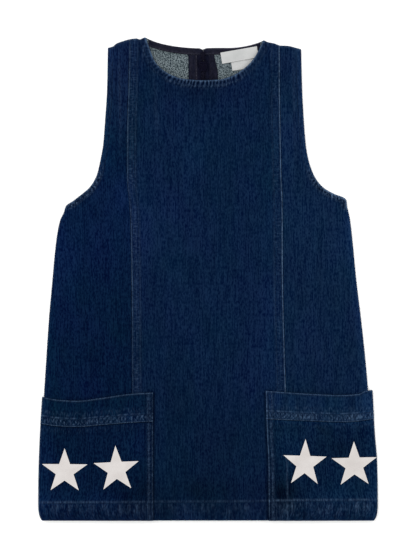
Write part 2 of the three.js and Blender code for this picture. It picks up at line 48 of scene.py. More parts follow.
body = {
    "up": [0, 4, 14, 50, 80, 110, 135, 172, 215, 258, 301, 322.6, 331.3, 338, 344.2, 347.4,
           350.6, 357.1, 363.5, 373.2, 388.3, 403.3, 433.4, 463.5, 509],
    "left": [-176.6, -178.6, -180.3, -180.4, -179.3, -177.9, -176.6, -174.3, -171.4, -167.6,
             -163.4, -159.3, -155.3, -153.2, -144.6, -140.5, -136.4, -128.7, -123.7, -119.2,
             -115.7, -113.0, -110.6, -108.7, -107.8],
    "leftSeam": [-81.2, -81.2, -81.3, -81.4, -81.5, -81.6, -81.6, -81.7, -81.8, -82.2, -82.8,
                 -83.3, -83.7, -84.2, -84.8, -85.1, -85.4, -86.2, -86.8, -87.1, -87.1, -87.1,
                 -86.6, -85.6, -84.6],
    "rightSeam": [84.0, 84.0, 83.9, 83.6, 83.3, 83.0, 82.8, 81.8, 80.6, 79.7, 79.5, 79.5, 79.4,
                  79.3, 79.2, 79.1, 79.0, 78.7, 78.4, 78.0, 77.7, 77.4, 76.8, 76.4, 76.3],
    "right": [176.6, 178.2, 179.6, 178.6, 176.5, 174.5, 172.8, 169.6, 165.0, 159.8, 155.6,
              153.1, 151.4, 149.8, 149.2, 146.3, 137.6, 125.7, 119.1, 113.2, 108.1, 105.4,
              103.0, 101.4, 100.2],
    "rightFold": 0.8,  # how far the right seam's fold lies outside its line
}
neck = {"leftX": -67.2, "leftUp": 520.0, "rightX": 59.5, "rightUp": 516.8}
shoulders = {
    "x": [-107.8, -102.7, -98.8, -92, -83.4, -76.9, -73.7, -67.2, 59.5, 64.5, 71.5, 78, 84.4,
          100.2],
    "up": [508.6, 510.0, 513.2, 515.7, 518.0, 518.7, 517.8, 520.0, 516.8, 514.8, 513.3, 511.1,
           510.9, 507.2],
}
frontNeck = {
    "x": [-67.2, -63.3, -57.2, -51.2, -45.0, -38.7, -25.8, -6, 12.9, 25.8, 32.3, 38.7, 45.2,
          51.6, 59.5],
    "up": [520.0, 509.2, 494.2, 487.2, 482.4, 478.9, 475.0, 473.5, 474.3, 478.1, 481.5, 486.1,
           492.0, 500.6, 516.8],
}
backNeck = {"depth": 10.4, "power": 2.6, "root": 1.2, "notchHalf": 4.2, "notchDepth": 1.4,
            "bowX": 10, "bowHalf": 24, "bowHigh": 0.8}
centreBack = {"neckX": -5.5, "hemX": 0.0}
armhole = {"foot": 333, "soft": 4}


def smooth(share):
    share = np.clip(share, 0, 1)
    return share * share * (3 - 2 * share)


def mix(start, end, share):
    return start + (end - start) * share


def least(*distances):
    return np.min(np.broadcast_arrays(*distances), axis=0)


# A curve through a table's points that never overshoots between them
def through(places, values):
    places, values = np.array(places, float), np.array(values, float)
    rise = np.diff(values) / np.diff(places)
    before, after = np.r_[rise[0], rise], np.r_[rise, rise[-1]]
    same = before * after > 0
    slope = np.where(same, 2 * before * after / np.where(same, before + after, 1), 0)

    def curve(where):
        where = np.clip(where, places[0], places[-1])
        k = np.clip(np.searchsorted(places, where, side="right") - 1, 0, len(places) - 2)
        span = places[k + 1] - places[k]
        t = (where - places[k]) / span
        eased = mix(values[k], values[k + 1], t * t * (3 - 2 * t))
        return eased + t * (1 - t) ** 2 * span * slope[k] - t * t * (1 - t) * span * slope[k + 1]

    return curve


bodyLeft, bodyRight, leftSeam = (through(body["up"], body[key])
                                 for key in ("left", "right", "leftSeam"))
rightSeam = through(body["up"], np.array(body["rightSeam"]) + body["rightFold"])
shoulderUp = through(shoulders["x"], shoulders["up"])
frontNeckUp = through(frontNeck["x"], frontNeck["up"])


def topEdge(neckUp, x):
    inNeck = (x > neck["leftX"]) & (x < neck["rightX"])
    return np.where(inNeck, neckUp(x), shoulderUp(x))


def frontTop(x):
    return topEdge(frontNeckUp, x)


def centreBackX(up):
    return mix(centreBack["hemX"], centreBack["neckX"], up / dress["length"])


# The back neckline: the lower half of a squared-off ellipse, a little bowed, notched at the zip
def backNeckUp(x):
    share = (x - neck["leftX"]) / (neck["rightX"] - neck["leftX"])
    fromMiddle = np.minimum(np.abs(2 * share - 1), 1)
    drop = backNeck["depth"] * (1 - fromMiddle ** backNeck["power"]) ** (1 / backNeck["root"])
    fromZip = np.abs(x - centreBackX(dress["length"]))
    notch = backNeck["notchDepth"] * smooth(1 - fromZip / backNeck["notchHalf"])
    bow = backNeck["bowHigh"] * smooth(1 - np.abs(x - backNeck["bowX"]) / backNeck["bowHalf"])
    return mix(neck["leftUp"], neck["rightUp"], share) - drop - notch + bow


def backTop(x):
    return topEdge(backNeckUp, x)


# One from the armholes' foot upward
def inArmhole(up):
    return smooth((up - armhole["foot"]) / armhole["soft"])


# One on the turned-up hem
def onHem(up):
    return smooth((dress["hem"] - up) / dress["step"])


# The front's smooth outer face: it lies on the back at its edges and lofts over the body
def frontFace(x, up):
    cloth, rise = dress["cloth"], dress["hemRise"]
    lying = 2 * cloth + dress["seamGap"] + 2 * cloth * smooth((dress["hem"] + rise - up) / rise)
    climb = smooth(np.minimum(x - bodyLeft(up), bodyRight(up) - x) / dress["sideRise"])
    climb = climb * smooth((shoulderUp(x) - up) / dress["shoulderRise"])
    return mix(lying, dress["loft"], climb)


# Unevenness, the same at every run
noise = {"steps": 4096, "firstStep": 1000.0, "side": 256, "corner": 500.0}


# Smooth noise along one measure: random values at even steps, joined by half cosines
def waver(along, size, seed):
    steps = noise["steps"]
    values = np.random.default_rng(seed).uniform(-1, 1, steps)
    place = np.abs(along / size + noise["firstStep"])
    k = np.floor(place).astype(int)
    return mix(values[k % steps], values[(k + 1) % steps], smooth(place - k))


# Smooth noise over a face: random values on a square lattice, blended between its corners
def cloudy(x, up, size, seed):
    side = noise["side"]
    values = np.random.default_rng(seed).uniform(-1, 1, (side, side))
    across, along = x / size + noise["corner"], up / size + noise["corner"]
    i, j = np.floor(across).astype(int), np.floor(along).astype(int)
    s, t = smooth(across - i), smooth(along - j)
    low, high = (mix(values[i % side, row % side], values[(i + 1) % side, row % side], s)
                 for row in (j, j + 1))
    return mix(low, high, t)


# Gathered ridges along a seam: a sine whose phase wanders, so that no two are alike
def roping(along, pitch, seed):
    phase = along / pitch + 0.42 * waver(along, pitch * 2.6, seed)
    return np.sin(2 * np.pi * phase) * (0.75 + 0.25 * waver(along, pitch * 5, seed + 1))


# A bump of height one between two distances, with soft ends
def between(distance, start, end, soft):
    return smooth((distance - start) / soft) * smooth((end - distance) / soft)


# A soft line of height one: a bell curve across it
def lineMark(distance, at, width):
    return np.exp(-(((distance - at) / width) ** 2))


# Distance from each point to a drawn line, and the length along the line to the nearest place:
# the nearest of the line's points is found first, then the pieces of line on each side of it
def nearLine(x, up, line):
    x, up = np.broadcast_arrays(x, up)
    points = np.stack([x.ravel(), up.ravel()], -1).astype(float)
    steps = np.diff(line, axis=0)
    lengths = np.linalg.norm(steps, axis=1)
    run = np.r_[0, np.cumsum(lengths)]
    away, along = np.empty(len(points)), np.empty(len(points))
    for part in np.array_split(np.arange(len(points)), len(points) // 4000 + 1):
        here = points[part]
        gap = (here[:, :1] - line[None, :, 0]) ** 2 + (here[:, 1:] - line[None, :, 1]) ** 2
        k = gap.argmin(1)
        best, place = np.sqrt(gap[np.arange(len(part)), k]), run[k]
        for shift in (-1, 0):
            piece = np.clip(k + shift, 0, len(steps) - 1)
            gone = here - line[piece]
            share = np.clip((gone * steps[piece]).sum(1) / lengths[piece] ** 2, 0, 1)
            distance = np.linalg.norm(gone - steps[piece] * share[:, None], axis=1)
            place = np.where(distance < best, run[piece] + share * lengths[piece], place)
            best = np.minimum(distance, best)
        away[part], along[part] = best, place
    return away.reshape(x.shape), along.reshape(x.shape)


# How far a folded edge has rounded down, at a distance in from it
def rolled(distance, radius):
    inward = np.clip(1 - distance / radius, 0, 1)
    return radius * 0.92 * (1 - np.sqrt(1 - inward ** 2))


def drawn(x, up):
    return np.stack([x, up], -1)


sideUps = np.linspace(0, body["up"][-1], 500)
neckXs = np.linspace(neck["leftX"], neck["rightX"], 300)
leftXs = np.linspace(shoulders["x"][0], neck["leftX"], 60)
rightXs = np.linspace(neck["rightX"], shoulders["x"][-1], 60)
lines = {
    "neck": drawn(neckXs, frontNeckUp(neckXs)),
    "backNeck": drawn(neckXs, backNeckUp(neckXs)),
    "left": drawn(bodyLeft(sideUps), sideUps),
    "right": drawn(bodyRight(sideUps), sideUps),
    "leftShoulder": drawn(leftXs, shoulderUp(leftXs)),
    "rightShoulder": drawn(rightXs, shoulderUp(rightXs)),
}

# Meshes


def quads(a, b, c, d):
    return np.stack([a, b, c, d], -1).reshape(-1, 4)


# One mesh object from points in millimetres and sets of faces, each set with its finish
def meshObject(name, points, faceSets, finishes, uv=None, marks=None, smoothFaces=True):
    mesh = bpy.data.meshes.new(name)
    places = (points - np.array([0, dress["length"] / 2, 0])) / 1000
    mesh.vertices.add(len(places))
    mesh.vertices.foreach_set("co", places.astype(np.float32).ravel())
    corners = np.concatenate([faces.ravel() for faces, _ in faceSets]).astype(np.int32)
    sizes = np.concatenate([np.full(len(faces), faces.shape[1]) for faces, _ in faceSets])
    slots = np.concatenate([np.full(len(faces), slot) for faces, slot in faceSets])
    mesh.loops.add(len(corners))
    mesh.loops.foreach_set("vertex_index", corners)
    mesh.polygons.add(len(sizes))
    mesh.polygons.foreach_set("loop_start", np.r_[0, np.cumsum(sizes)[:-1]].astype(np.int32))
    mesh.update(calc_edges=True)
    mesh.polygons.foreach_set("material_index", slots.astype(np.int32))
    mesh.polygons.foreach_set("use_smooth", np.full(len(sizes), smoothFaces))
    if uv is not None:
        layer = mesh.uv_layers.new(name="cloth")
        layer.data.foreach_set("uv", (uv[corners] / 1000).astype(np.float32).ravel())
    for mark, values in (marks or {}).items():
        attribute = mesh.attributes.new(mark, "FLOAT", "POINT")
        attribute.data.foreach_set("value", values.astype(np.float32).ravel())
    for finish in finishes:
        mesh.materials.append(finish)
    mesh.update()
    made = bpy.data.objects.new(name, mesh)
    bpy.context.scene.collection.objects.link(made)
    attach(made, "root")
    return made


# A closed cloth wall: an outer and an inner grid of the same size, joined all round the rim
# `marks` gives, for each mark, its values outside and inside
def clothWall(name, outer, inner, finishes, uv, marks, rimSlot=0):
    columns, rows = outer.shape[:2]
    top = np.arange(columns * rows).reshape(columns, rows)
    low = top + columns * rows
    face = quads(top[:-1, :-1], top[1:, :-1], top[1:, 1:], top[:-1, 1:])
    back = quads(low[:-1, :-1], low[:-1, 1:], low[1:, 1:], low[1:, :-1])
    rim = np.concatenate([
        quads(low[:-1, 0], low[1:, 0], top[1:, 0], top[:-1, 0]),
        quads(top[:-1, -1], top[1:, -1], low[1:, -1], low[:-1, -1]),
        quads(top[0, :-1], top[0, 1:], low[0, 1:], low[0, :-1]),
        quads(low[-1, :-1], low[-1, 1:], top[-1, 1:], top[-1, :-1]),
    ])
    spread = {mark: np.concatenate([np.broadcast_to(side, (columns, rows)).ravel()
                                    for side in sides]) for mark, sides in marks.items()}
    sets = [(face, 0), (back, 1), (rim, rimSlot)]
    points = np.concatenate([outer.reshape(-1, 3), inner.reshape(-1, 3)])
    both = np.concatenate([uv.reshape(-1, 2)] * 2)
    return meshObject(name, points, sets, finishes, both, spread)


def planPoints(x, up, z):
    return np.stack(np.broadcast_arrays(x, up, z), -1)


# Node groups and materials

# Marks on cloth are six masks: pale marks, partly wear and partly painted highlight; painted shade in
# hollows and beside raised parts; ladders; gathers; how much paler or darker the cloth is, partly
# painted shade; and which way its colour leans
markNames = ("worn", "deep", "ladder", "gathers", "fade", "cast")


def shaderGroup(name, inputs, outputs):
    group = bpy.data.node_groups.new(name, "ShaderNodeTree")
    for way, sockets in (("INPUT", inputs), ("OUTPUT", outputs)):
        for label, kind in sockets.items():
            group.interface.new_socket(label, in_out=way, socket_type="NodeSocket" + kind)
    inside, outside = group.nodes.new("NodeGroupInput"), group.nodes.new("NodeGroupOutput")
    return group, inside.outputs, outside


# Gives a node its inputs; a value that is itself a socket is linked
def feed(tree, node, sockets):
    for socket, value in sockets.items():
        if isinstance(value, bpy.types.NodeSocket):
            tree.links.new(value, node.inputs[socket])
        else:
            node.inputs[socket].default_value = value


def put(tree, kind, sockets=None, **settings):
    made = tree.nodes.new(kind)
    for key, value in settings.items():
        setattr(made, key, value)
    feed(tree, made, sockets or {})
    return made


def calc(tree, operation, *values, clamp=False):
    sockets = dict(enumerate(values))
    return put(tree, "ShaderNodeMath", sockets, operation=operation, use_clamp=clamp).outputs[0]


def blend(tree, share, first, second, kind="MIX"):
    sockets = {0: share, 6: first, 7: second}
    return put(tree, "ShaderNodeMix", sockets, data_type="RGBA", blend_type=kind).outputs[2]


def scaledPlace(tree, place, scale):
    return put(tree, "ShaderNodeVectorMath", {0: place, 1: scale}, operation="MULTIPLY").outputs[0]


# Noise on a place in millimetres, drawn out by its own sizes across and along
def grainNoise(tree, place, across, along, seed, detail):
    sized = put(tree, "ShaderNodeMapping",
                {"Vector": place, "Location": (seed, seed * 0.7, 0.0),
                 "Scale": (1 / across, 1 / along, 1.0)})
    return put(tree, "ShaderNodeTexNoise",
               {"Vector": sized.outputs[0], "Scale": 1.0, "Detail": detail, "Roughness": 0.55},
               noise_dimensions="2D").outputs[0]


def spread(tree, value, low, high, start=0.0, end=1.0):
    sockets = {0: value, 1: low, 2: high, 3: start, 4: end}
    return put(tree, "ShaderNodeMapRange", sockets).outputs[0]


# Size across and along in millimetres, seed and detail of each noise in the twill
twillNoise = {"fine": (1.15, 17.0, 3.1, 1.5), "wide": (2.8, 60.0, 7.7, 2.0),
              "fleck": (1.5, 3.4, 9.2, 1.0), "cloud": (5.0, 11.0, 5.9, 2.0),
              "patch": (45.0, 70.0, 1.3, 2.0)}
twillShape = {"slant": 0.62, "turn": 6.2832, "fine": 0.9, "wide": 0.45, "level": 0.675}
toMillimetres = (1000, 1000, 1000)


# Twill: slanting ridges of warp over paler weft. Long uneven yarns run along the cloth, short
# flecks break them up, and broad patches took the dye differently
def makeTwillGroup():
    group, inside, outside = shaderGroup(
        "indigoTwill",
        {"Cloth": "Vector", "Dark": "Color", "Light": "Color", "Streak": "Float",
         "Fleck": "Float", "Twill": "Float", "Pitch": "Float"},
        {"Color": "Color", "Height": "Float", "Yarn": "Float"})
    place = scaledPlace(group, inside["Cloth"], toMillimetres)
    axes = put(group, "ShaderNodeSeparateXYZ", {0: place}).outputs
    fine, wide, fleck, cloud, patch = (grainNoise(group, place, *sizes)
                                       for sizes in twillNoise.values())
    slant = calc(group, "MULTIPLY_ADD", axes[1], twillShape["slant"], axes[0])
    slant = calc(group, "DIVIDE", slant, inside["Pitch"])
    ridge = calc(group, "SINE", calc(group, "MULTIPLY", slant, twillShape["turn"]))
    streak = calc(group, "MULTIPLY_ADD", wide, twillShape["wide"],
                  calc(group, "MULTIPLY", fine, twillShape["fine"]))
    streak = calc(group, "MULTIPLY", calc(group, "SUBTRACT", streak, twillShape["level"]),
                  inside["Streak"])
    flecks = calc(group, "MULTIPLY", calc(group, "SUBTRACT", fleck, 0.5), inside["Fleck"])
    weft = calc(group, "MULTIPLY", ridge, inside["Twill"])
    share = calc(group, "ADD", calc(group, "MULTIPLY_ADD", streak, 1.8, 0.5),
                 calc(group, "MULTIPLY_ADD", flecks, 2.0, calc(group, "MULTIPLY", weft, -0.5)))
    share = calc(group, "MULTIPLY", share, spread(group, cloud, 0.3, 0.7, 0.78, 1.22))
    share = calc(group, "MULTIPLY", share, spread(group, patch, 0.3, 0.7, 0.8, 1.2), clamp=True)
    shade = put(group, "ShaderNodeHueSaturation",
                {"Hue": spread(group, patch, 0.3, 0.7, 0.494, 0.508),
                 "Color": blend(group, share, inside["Dark"], inside["Light"])})
    height = calc(group, "MULTIPLY_ADD", ridge, 0.3, calc(group, "ADD", fine, fleck))
    feed(group, outside, {"Color": shade.outputs[0], "Height": height, "Yarn": share})
    return group


# Sewing gathers the cloth into short dashes: level ones, ladders, along upright seams, and upright
# ones, gathers, along the neckline, the hem and the pockets' bands
dashNoise = {"Ladder": (5.0, 1.7, 21.0, 1.0), "Gathers": (1.7, 5.0, 27.0, 1.0)}
castShares = (0.3, -0.08, 0.1)  # what a full cast adds to red, green and blue
# Colour of the painted shade in hollows, beside raised parts and between dashes
hollowDye = (0.00014, 0.0018, 0.0090, 1)


# Dye, wear and painted light: broad places are paler or darker, some of it painted shade, and lean to
# violet or to green. Edges and dash crests go pale, partly wear and partly painted highlight, keeping
# the yarns' unevenness, and hollows and the gaps between dashes get painted shade
def makeRubbedGroup():
    group, inside, outside = shaderGroup(
        "rubbedDye",
        {"Cloth": "Vector", "Color": "Color", "Rubbed": "Color", "Yarn": "Float",
         **{mark.capitalize(): "Float" for mark in markNames}},
        {"Color": "Color"})
    place = scaledPlace(group, inside["Cloth"], toMillimetres)
    faded = calc(group, "ADD", inside["Fade"], 1.0)
    leans = [calc(group, "MULTIPLY_ADD", inside["Cast"], share, 1.0) for share in castShares]
    shares = put(group, "ShaderNodeCombineColor",
                 {k: calc(group, "MULTIPLY", faded, lean) for k, lean in enumerate(leans)})
    dyed = blend(group, 1.0, inside["Color"], shares.outputs[0], "MULTIPLY")
    worn, deep = inside["Worn"], inside["Deep"]
    # Dash crests go pale, partly wear and partly painted highlight, and the gaps between them get
    # painted shade
    for label, sizes in dashNoise.items():
        dashes = grainNoise(group, place, *sizes)
        worn = calc(group, "MULTIPLY_ADD", inside[label], spread(group, dashes, 0.5, 0.68), worn)
        deep = calc(group, "MULTIPLY_ADD", inside[label],
                    spread(group, dashes, 0.5, 0.34, 0.0, 2.6), deep)
    # Pale marks, partly wear and partly painted highlight, follow the yarns' unevenness
    uneven = spread(group, inside["Yarn"], 0.1, 0.9, 0.5, 1.4)
    mask = calc(group, "MULTIPLY", worn, uneven, clamp=True)
    paler = blend(group, mask, dyed, inside["Rubbed"])
    # Painted shade darkens the colour toward the shade colour
    dark = calc(group, "MULTIPLY", deep, 0.7, clamp=True)
    feed(group, outside, {"Color": blend(group, dark, paler, hollowDye)})
    return group


twillGroup = makeTwillGroup()
rubbedGroup = makeRubbedGroup()


def newMaterial(name):
    made = bpy.data.materials.new(name)
    made.use_nodes = True
    tree = made.node_tree
    tree.nodes.clear()
    shader = tree.nodes.new("ShaderNodeBsdfPrincipled")
    output = tree.nodes.new("ShaderNodeOutputMaterial")
    tree.links.new(shader.outputs[0], output.inputs[0])
    return made, tree, shader


def attribute(tree, name):
    return put(tree, "ShaderNodeAttribute", attribute_name=name).outputs["Fac"]


def bumpFrom(tree, height, strength, distance):
    sockets = {"Strength": strength, "Distance": distance, "Height": height}
    return put(tree, "ShaderNodeBump", sockets).outputs[0]


# Denim: twill, dye with wear, painted highlight and painted shade, and a bump from the twill
def denimMaterial(name, dye):
    made, tree, shader = newMaterial(name)
    cloth = scaledPlace(tree, put(tree, "ShaderNodeUVMap", uv_map="cloth").outputs[0], dye["finer"])
    weave = {key.capitalize(): dye[key]
             for key in ("dark", "light", "streak", "fleck", "twill", "pitch")}
    twill = put(tree, "ShaderNodeGroup", {"Cloth": cloth, **weave}, node_tree=twillGroup).outputs
    marks = {mark.capitalize(): attribute(tree, mark) for mark in markNames}
    rubbed = put(tree, "ShaderNodeGroup",
                 {"Cloth": cloth, "Color": twill["Color"], "Yarn": twill["Yarn"],
                  "Rubbed": dye["rubbed"], **marks}, node_tree=rubbedGroup).outputs
    rough = spread(tree, twill["Yarn"], 0.1, 0.9, dye["rough"] - 0.06, dye["rough"])
    feed(tree, shader, {
        "Base Color": rubbed["Color"], "Roughness": rough,
        "Normal": bumpFrom(tree, twill["Height"], dye["bump"], 0.00025),
        "Specular IOR Level": dye["specular"], "Sheen Weight": dye["sheen"],
        "Sheen Roughness": 0.5, "Sheen Tint": dye["sheenTint"],
    })
    return made


faceDye = {
    "dark": (0.0, 0.003172, 0.0171, 1), "light": (0.0036, 0.0129, 0.0362, 1),
    "rubbed": (0.06069, 0.1041, 0.1759, 1), "streak": 1.0, "fleck": 1.0, "twill": 0.2,
    "pitch": 0.85, "rough": 0.92, "bump": 0.45, "specular": 0.00828, "sheen": 0.0103,
    "sheenTint": (0.2, 0.5, 0.8, 1), "finer": (1, 1, 1),
}
insideDye = {
    "dark": (0.0060, 0.0130, 0.0185, 1), "light": (0.128, 0.158, 0.170, 1),
    "rubbed": (0.2069, 0.2207, 0.2276, 1), "streak": 0.6, "fleck": 1.6, "twill": 0.4,
    "pitch": 2.6, "rough": 0.95, "bump": 0.7, "specular": 0.069, "sheen": 0.0345,
    "sheenTint": (0.8, 0.9, 1, 1), "finer": (1.2, 2.2, 1),
}
tapeDye = {
    **faceDye, "dark": (0.001793, 0.001931, 0.005655, 1), "light": (0.005793, 0.006138, 0.01379, 1),
    "rubbed": (0.04138, 0.04138, 0.05862, 1), "streak": 0.5, "fleck": 0.6, "twill": 0.35,
    "pitch": 1.6, "specular": 0.0207, "sheenTint": (0.6, 0.6, 0.8, 1),
}


# The same dye, paler or darker by a share of each colour, its yarns more or less uneven
def tinted(dye, red, green, blue, uneven=1.0):
    scaled = {key: tuple(np.multiply(dye[key], (red, green, blue, 1))) for key in ("dark", "light")}
    scaled.update({key: uneven * dye[key] for key in ("streak", "fleck")})
    return {**dye, **scaled}


faceTints = {
    "denimFace": (1, 1, 1), "denimFaceLeft": (0.62, 0.76, 0.88, 1.15),
    "denimFaceRight": (1.22, 1.13, 1.06), "pocketDenimLeft": (0.52, 0.66, 0.74, 1.5),
    "pocketDenimRight": (0.85, 0.93, 0.88, 1.5), "bandDenimLeft": (0.62, 0.82, 0.84, 1.25),
    "bandDenimRight": (1.45, 1.36, 1.22),
}
dyes = {name: tinted(faceDye, *shares) for name, shares in faceTints.items()}
dyes.update({"denimInside": insideDye, "navyTape": tapeDye})
finishes = {name: denimMaterial(name, dye) for name, dye in dyes.items()}


# Plain finishes: a mottled colour with a fine bump, on object coordinates
def mottledMaterial(name, look):
    made, tree, shader = newMaterial(name)
    place = put(tree, "ShaderNodeTexCoord").outputs["Object"]
    grain = put(tree, "ShaderNodeTexNoise", {"Vector": place, "Scale": look["grain"],
                                             "Detail": 4.0, "Roughness": 0.6}).outputs[0]
    patch = put(tree, "ShaderNodeTexNoise", {"Vector": place, "Scale": look["patch"],
                                             "Detail": 2.0}).outputs[0]
    share = calc(tree, "MULTIPLY_ADD", grain, 0.5, calc(tree, "MULTIPLY", patch, 0.5))
    colour = blend(tree, spread(tree, share, 0.35, 0.65), look["dark"], look["light"])
    # Edges that carry the pale mark take the rim colour, which on the labels is a painted highlight
    feed(tree, shader, {
        "Base Color": blend(tree, attribute(tree, "worn"), colour, look["rim"]),
        "Roughness": spread(tree, grain, 0.3, 0.7, look["rough"] - 0.08, look["rough"] + 0.05),
        "Normal": bumpFrom(tree, grain, look["bump"], 0.0002),
        "Specular IOR Level": look["specular"], "Sheen Weight": look["sheen"],
    })
    return made


# What threads of both kinds share
threadLook = {"grain": 4000.0, "patch": 300.0, "rough": 0.6, "bump": 0.4}
plainLooks = {
    "starLeather": {
        "dark": (0.4138, 0.3862, 0.3724, 1), "light": (0.4828, 0.4607, 0.4483, 1),
        "rim": (0.5379, 0.5241, 0.5103, 1), "grain": 1400.0, "patch": 70.0, "rough": 0.6,
        "bump": 0.25, "specular": 0.138, "sheen": 0.0},
    "labelSatin": {
        "dark": (0.3172, 0.3241, 0.3241, 1), "light": (0.4, 0.4034, 0.4, 1),
        "rim": (0.4828, 0.4828, 0.4759, 1), "grain": 2500.0, "patch": 90.0, "rough": 0.45,
        "bump": 0.3, "specular": 0.207, "sheen": 0.069},
    "navyThread": {
        "dark": (0.001034, 0.005172, 0.01862, 1), "light": (0.004138, 0.01379, 0.03586, 1),
        "rim": (0.01379, 0.03103, 0.06207, 1), **threadLook, "specular": 0.0276,
        "sheen": 0.0069},
    "tapeThread": {
        "dark": (0.005517, 0.005517, 0.01172, 1), "light": (0.01241, 0.01241, 0.02207, 1),
        "rim": (0.05517, 0.05517, 0.06897, 1), **threadLook, "specular": 0.0345, "sheen": 0.0},
    "sliderLacquer": {
        "dark": (0.0011, 0.0010, 0.0048, 1), "light": (0.0036, 0.0034, 0.0098, 1),
        "rim": (0.02069, 0.02069, 0.03103, 1), "grain": 900.0, "patch": 200.0, "rough": 0.35,
        "bump": 0.1, "specular": 0.0172, "sheen": 0.0},
    "coilNylon": {
        "dark": (0.0021, 0.0020, 0.0062, 1), "light": (0.0060, 0.0058, 0.0132, 1),
        "rim": (0.02759, 0.02759, 0.04138, 1), "grain": 1200.0, "patch": 200.0, "rough": 0.45,
        "bump": 0.1, "specular": 0.0345, "sheen": 0.0},
}
finishes.update({name: mottledMaterial(name, look) for name, look in plainLooks.items()})
print("materials made:", len(bpy.data.materials))

# Edges, seams and creases of the denim

neckEdge = {"band": 5.9, "pitch": 3.8, "slant": 0.2, "relief": 0.34, "raise": 0.22, "rim": 0.5,
            "rimAt": 0.9, "rimWide": 1.1, "worn": 0.34, "deep": 2.7, "stitch": 6.4, "dash": 0.3,
            "gathers": 0.12, "ladder": 0.0, "reach": 11.0, "seed": 11}
armEdge = {"band": 5.2, "pitch": 3.6, "slant": 0.3, "relief": 0.2, "raise": 0.2, "rim": 0.42,
           "rimAt": 0.6, "rimWide": 1.0, "worn": 0.3, "deep": 1.3, "stitch": 5.6, "dash": 0.3,
           "gathers": 0.5, "ladder": 0.36, "reach": 6.0, "seed": 21}
hemEdge = {"across": 1.8, "along": 8.0, "slant": 0.1, "relief": 0.2, "rim": 0.08, "worn": 0.17,
           "deep": 1.0, "below": 1.3, "dash": 0.2, "gathers": 0.06, "seed": 31}
felledSeam = {"width": 9.6, "raise": 0.8, "pitch": 5.6, "relief": 0.06, "stitches": (1.7, 8.3)}
seamLooks = {
    "left": {"seed": 41, "fold": 0.2, "foldWide": 1.0, "inner": ((5.4, 0.08), (9.3, 0.08)),
             "ladder": 0.07, "bright": through([120, 200, 260, 400, 500], [0.6, 0.9, 1.5, 1.4, 1.1])},
    "right": {"seed": 47, "fold": 0.9, "foldWide": 0.5, "inner": ((9.3, 0.06), (5.0, 0.03)),
              "ladder": 0.06, "bright": through([120, 500], [1, 1])},
}

# Soft creases of the front: place, half sizes along and across, turn in degrees, and height
frontCreases = {
    "x": [-74.5, -71.0, -96, -99, -62, 66, 84, 92, -128, -60, 30, -20, 118, 132, -140, 10],
    "up": [508, 497, 470, 430, 455, 500, 470, 440, 250, 300, 210, 110, 280, 180, 170, 400],
    "along": [11, 15, 46, 40, 34, 16, 48, 40, 110, 120, 140, 80, 110, 60, 60, 60],
    "across": [2.2, 3.0, 3.6, 5.0, 6.0, 3.0, 4.5, 6.0, 22, 26, 30, 30, 24, 16, 18, 24],
    "turn": [-12, 10, 1, -2, 14, -14, 1, -3, 4, 2, -2, 0, -5, -8, 6, 0],
    "height": [-0.55, 0.35, -0.28, 0.3, -0.25, -0.4, -0.3, 0.3, 0.5, -0.4, 0.5, -0.35, 0.5,
               -0.4, -0.35, 0.35],
}


# Narrow creases at the shoulders: a trough holds a painted shadow and a crown a painted highlight
strapCreases = {
    "x": [-72.8, -69.2, -98.5, -95.0, -60.5, 64.5, 92.5, 96.0, 70.5, -57],
    "up": [506, 505, 452, 455, 468, 500, 460, 462, 478, 450],
    "along": [12, 11, 45, 46, 22, 13, 46, 42, 26, 30],
    "across": [1.4, 1.5, 1.2, 1.3, 2.0, 1.6, 1.3, 1.2, 1.8, 2.4],
    "turn": [-9, -8, 1, 1, 8, 12, 1, 1, -6, 5],
    "height": [-0.6, 0.35, -0.22, 0.2, -0.2, -0.35, 0.22, -0.22, -0.16, 0.18],
}


# How much paler or darker the cloth is, as a share of its brightness, and where it leans to violet or
# to green. The short dark stroke at x 121, up 99, turned 48 degrees, is a painted crease shadow on the
# right pocket
dyeFades = {
    "x": [-73, -19, 67, 120, -154, 153, -105, -30, 8, 8, -73, 83, 147, 137, 174, -89, -175, -143,
          -9, -107, 83, -81, 10, -18, -48, 78, 88, 171, 67, -72, -178, -104, -62, -92, -137,
          -109, -41, 121, -86, 88],
    "up": [328, 398, 355, 328, 280, 302, 183, 130, 65, 33, 31, 28, 76, 28, 44, 87, 54, 22, 463, 415,
           420, 111, 10, 36, 12, 38, 80, 120, 192, 80, 14, 500, 487, 350, 303, 385, 388, 99, 11,
           11],
    "along": [55, 35, 70, 40, 45, 40, 55, 30, 45, 12, 14, 14, 14, 18, 40, 22, 35, 10, 12, 35, 45, 6,
              14, 14, 14, 12, 20, 18, 60, 22, 12, 12, 14, 22, 25, 20, 25, 11, 9, 9],
    "across": [45, 26, 22, 35, 18, 14, 50, 40, 55, 75, 22, 20, 20, 28, 8, 18, 9, 45, 40, 12, 10, 14,
               65, 16, 12, 18, 12, 9, 12, 8, 8, 10, 9, 11, 20, 9, 18, 3.5, 9, 9],
    "turn": [0, 0, 0, 0, 4, -5, 0, 0, 0, 0, 0, 0, 0, 0, 0, 0, 0, 0, 0, 0, 0, -6, 0, 0, 0, 0, 0, 0,
             -1, 0, 0, 0, 20, 0, 0, 0, 0, 48, 0, 0],
    "share": [0.2, 0.14, 0.14, 0.12, 0.22, 0.15, -0.1, -0.16, -0.24, -0.16, -0.28, -0.4, -0.28,
              0.25, 0.25, 0.16, 0.2, 0.22, -0.24, 0.18, 0.15, 0.4, -0.2, -0.14, -0.25, -0.18,
              0.26, 0.22, 0.28, 0.18, 0.35, 0.3, -0.2, 0.16, 0.1, 0.12, -0.14, -0.28, -0.2,
              -0.15],
}
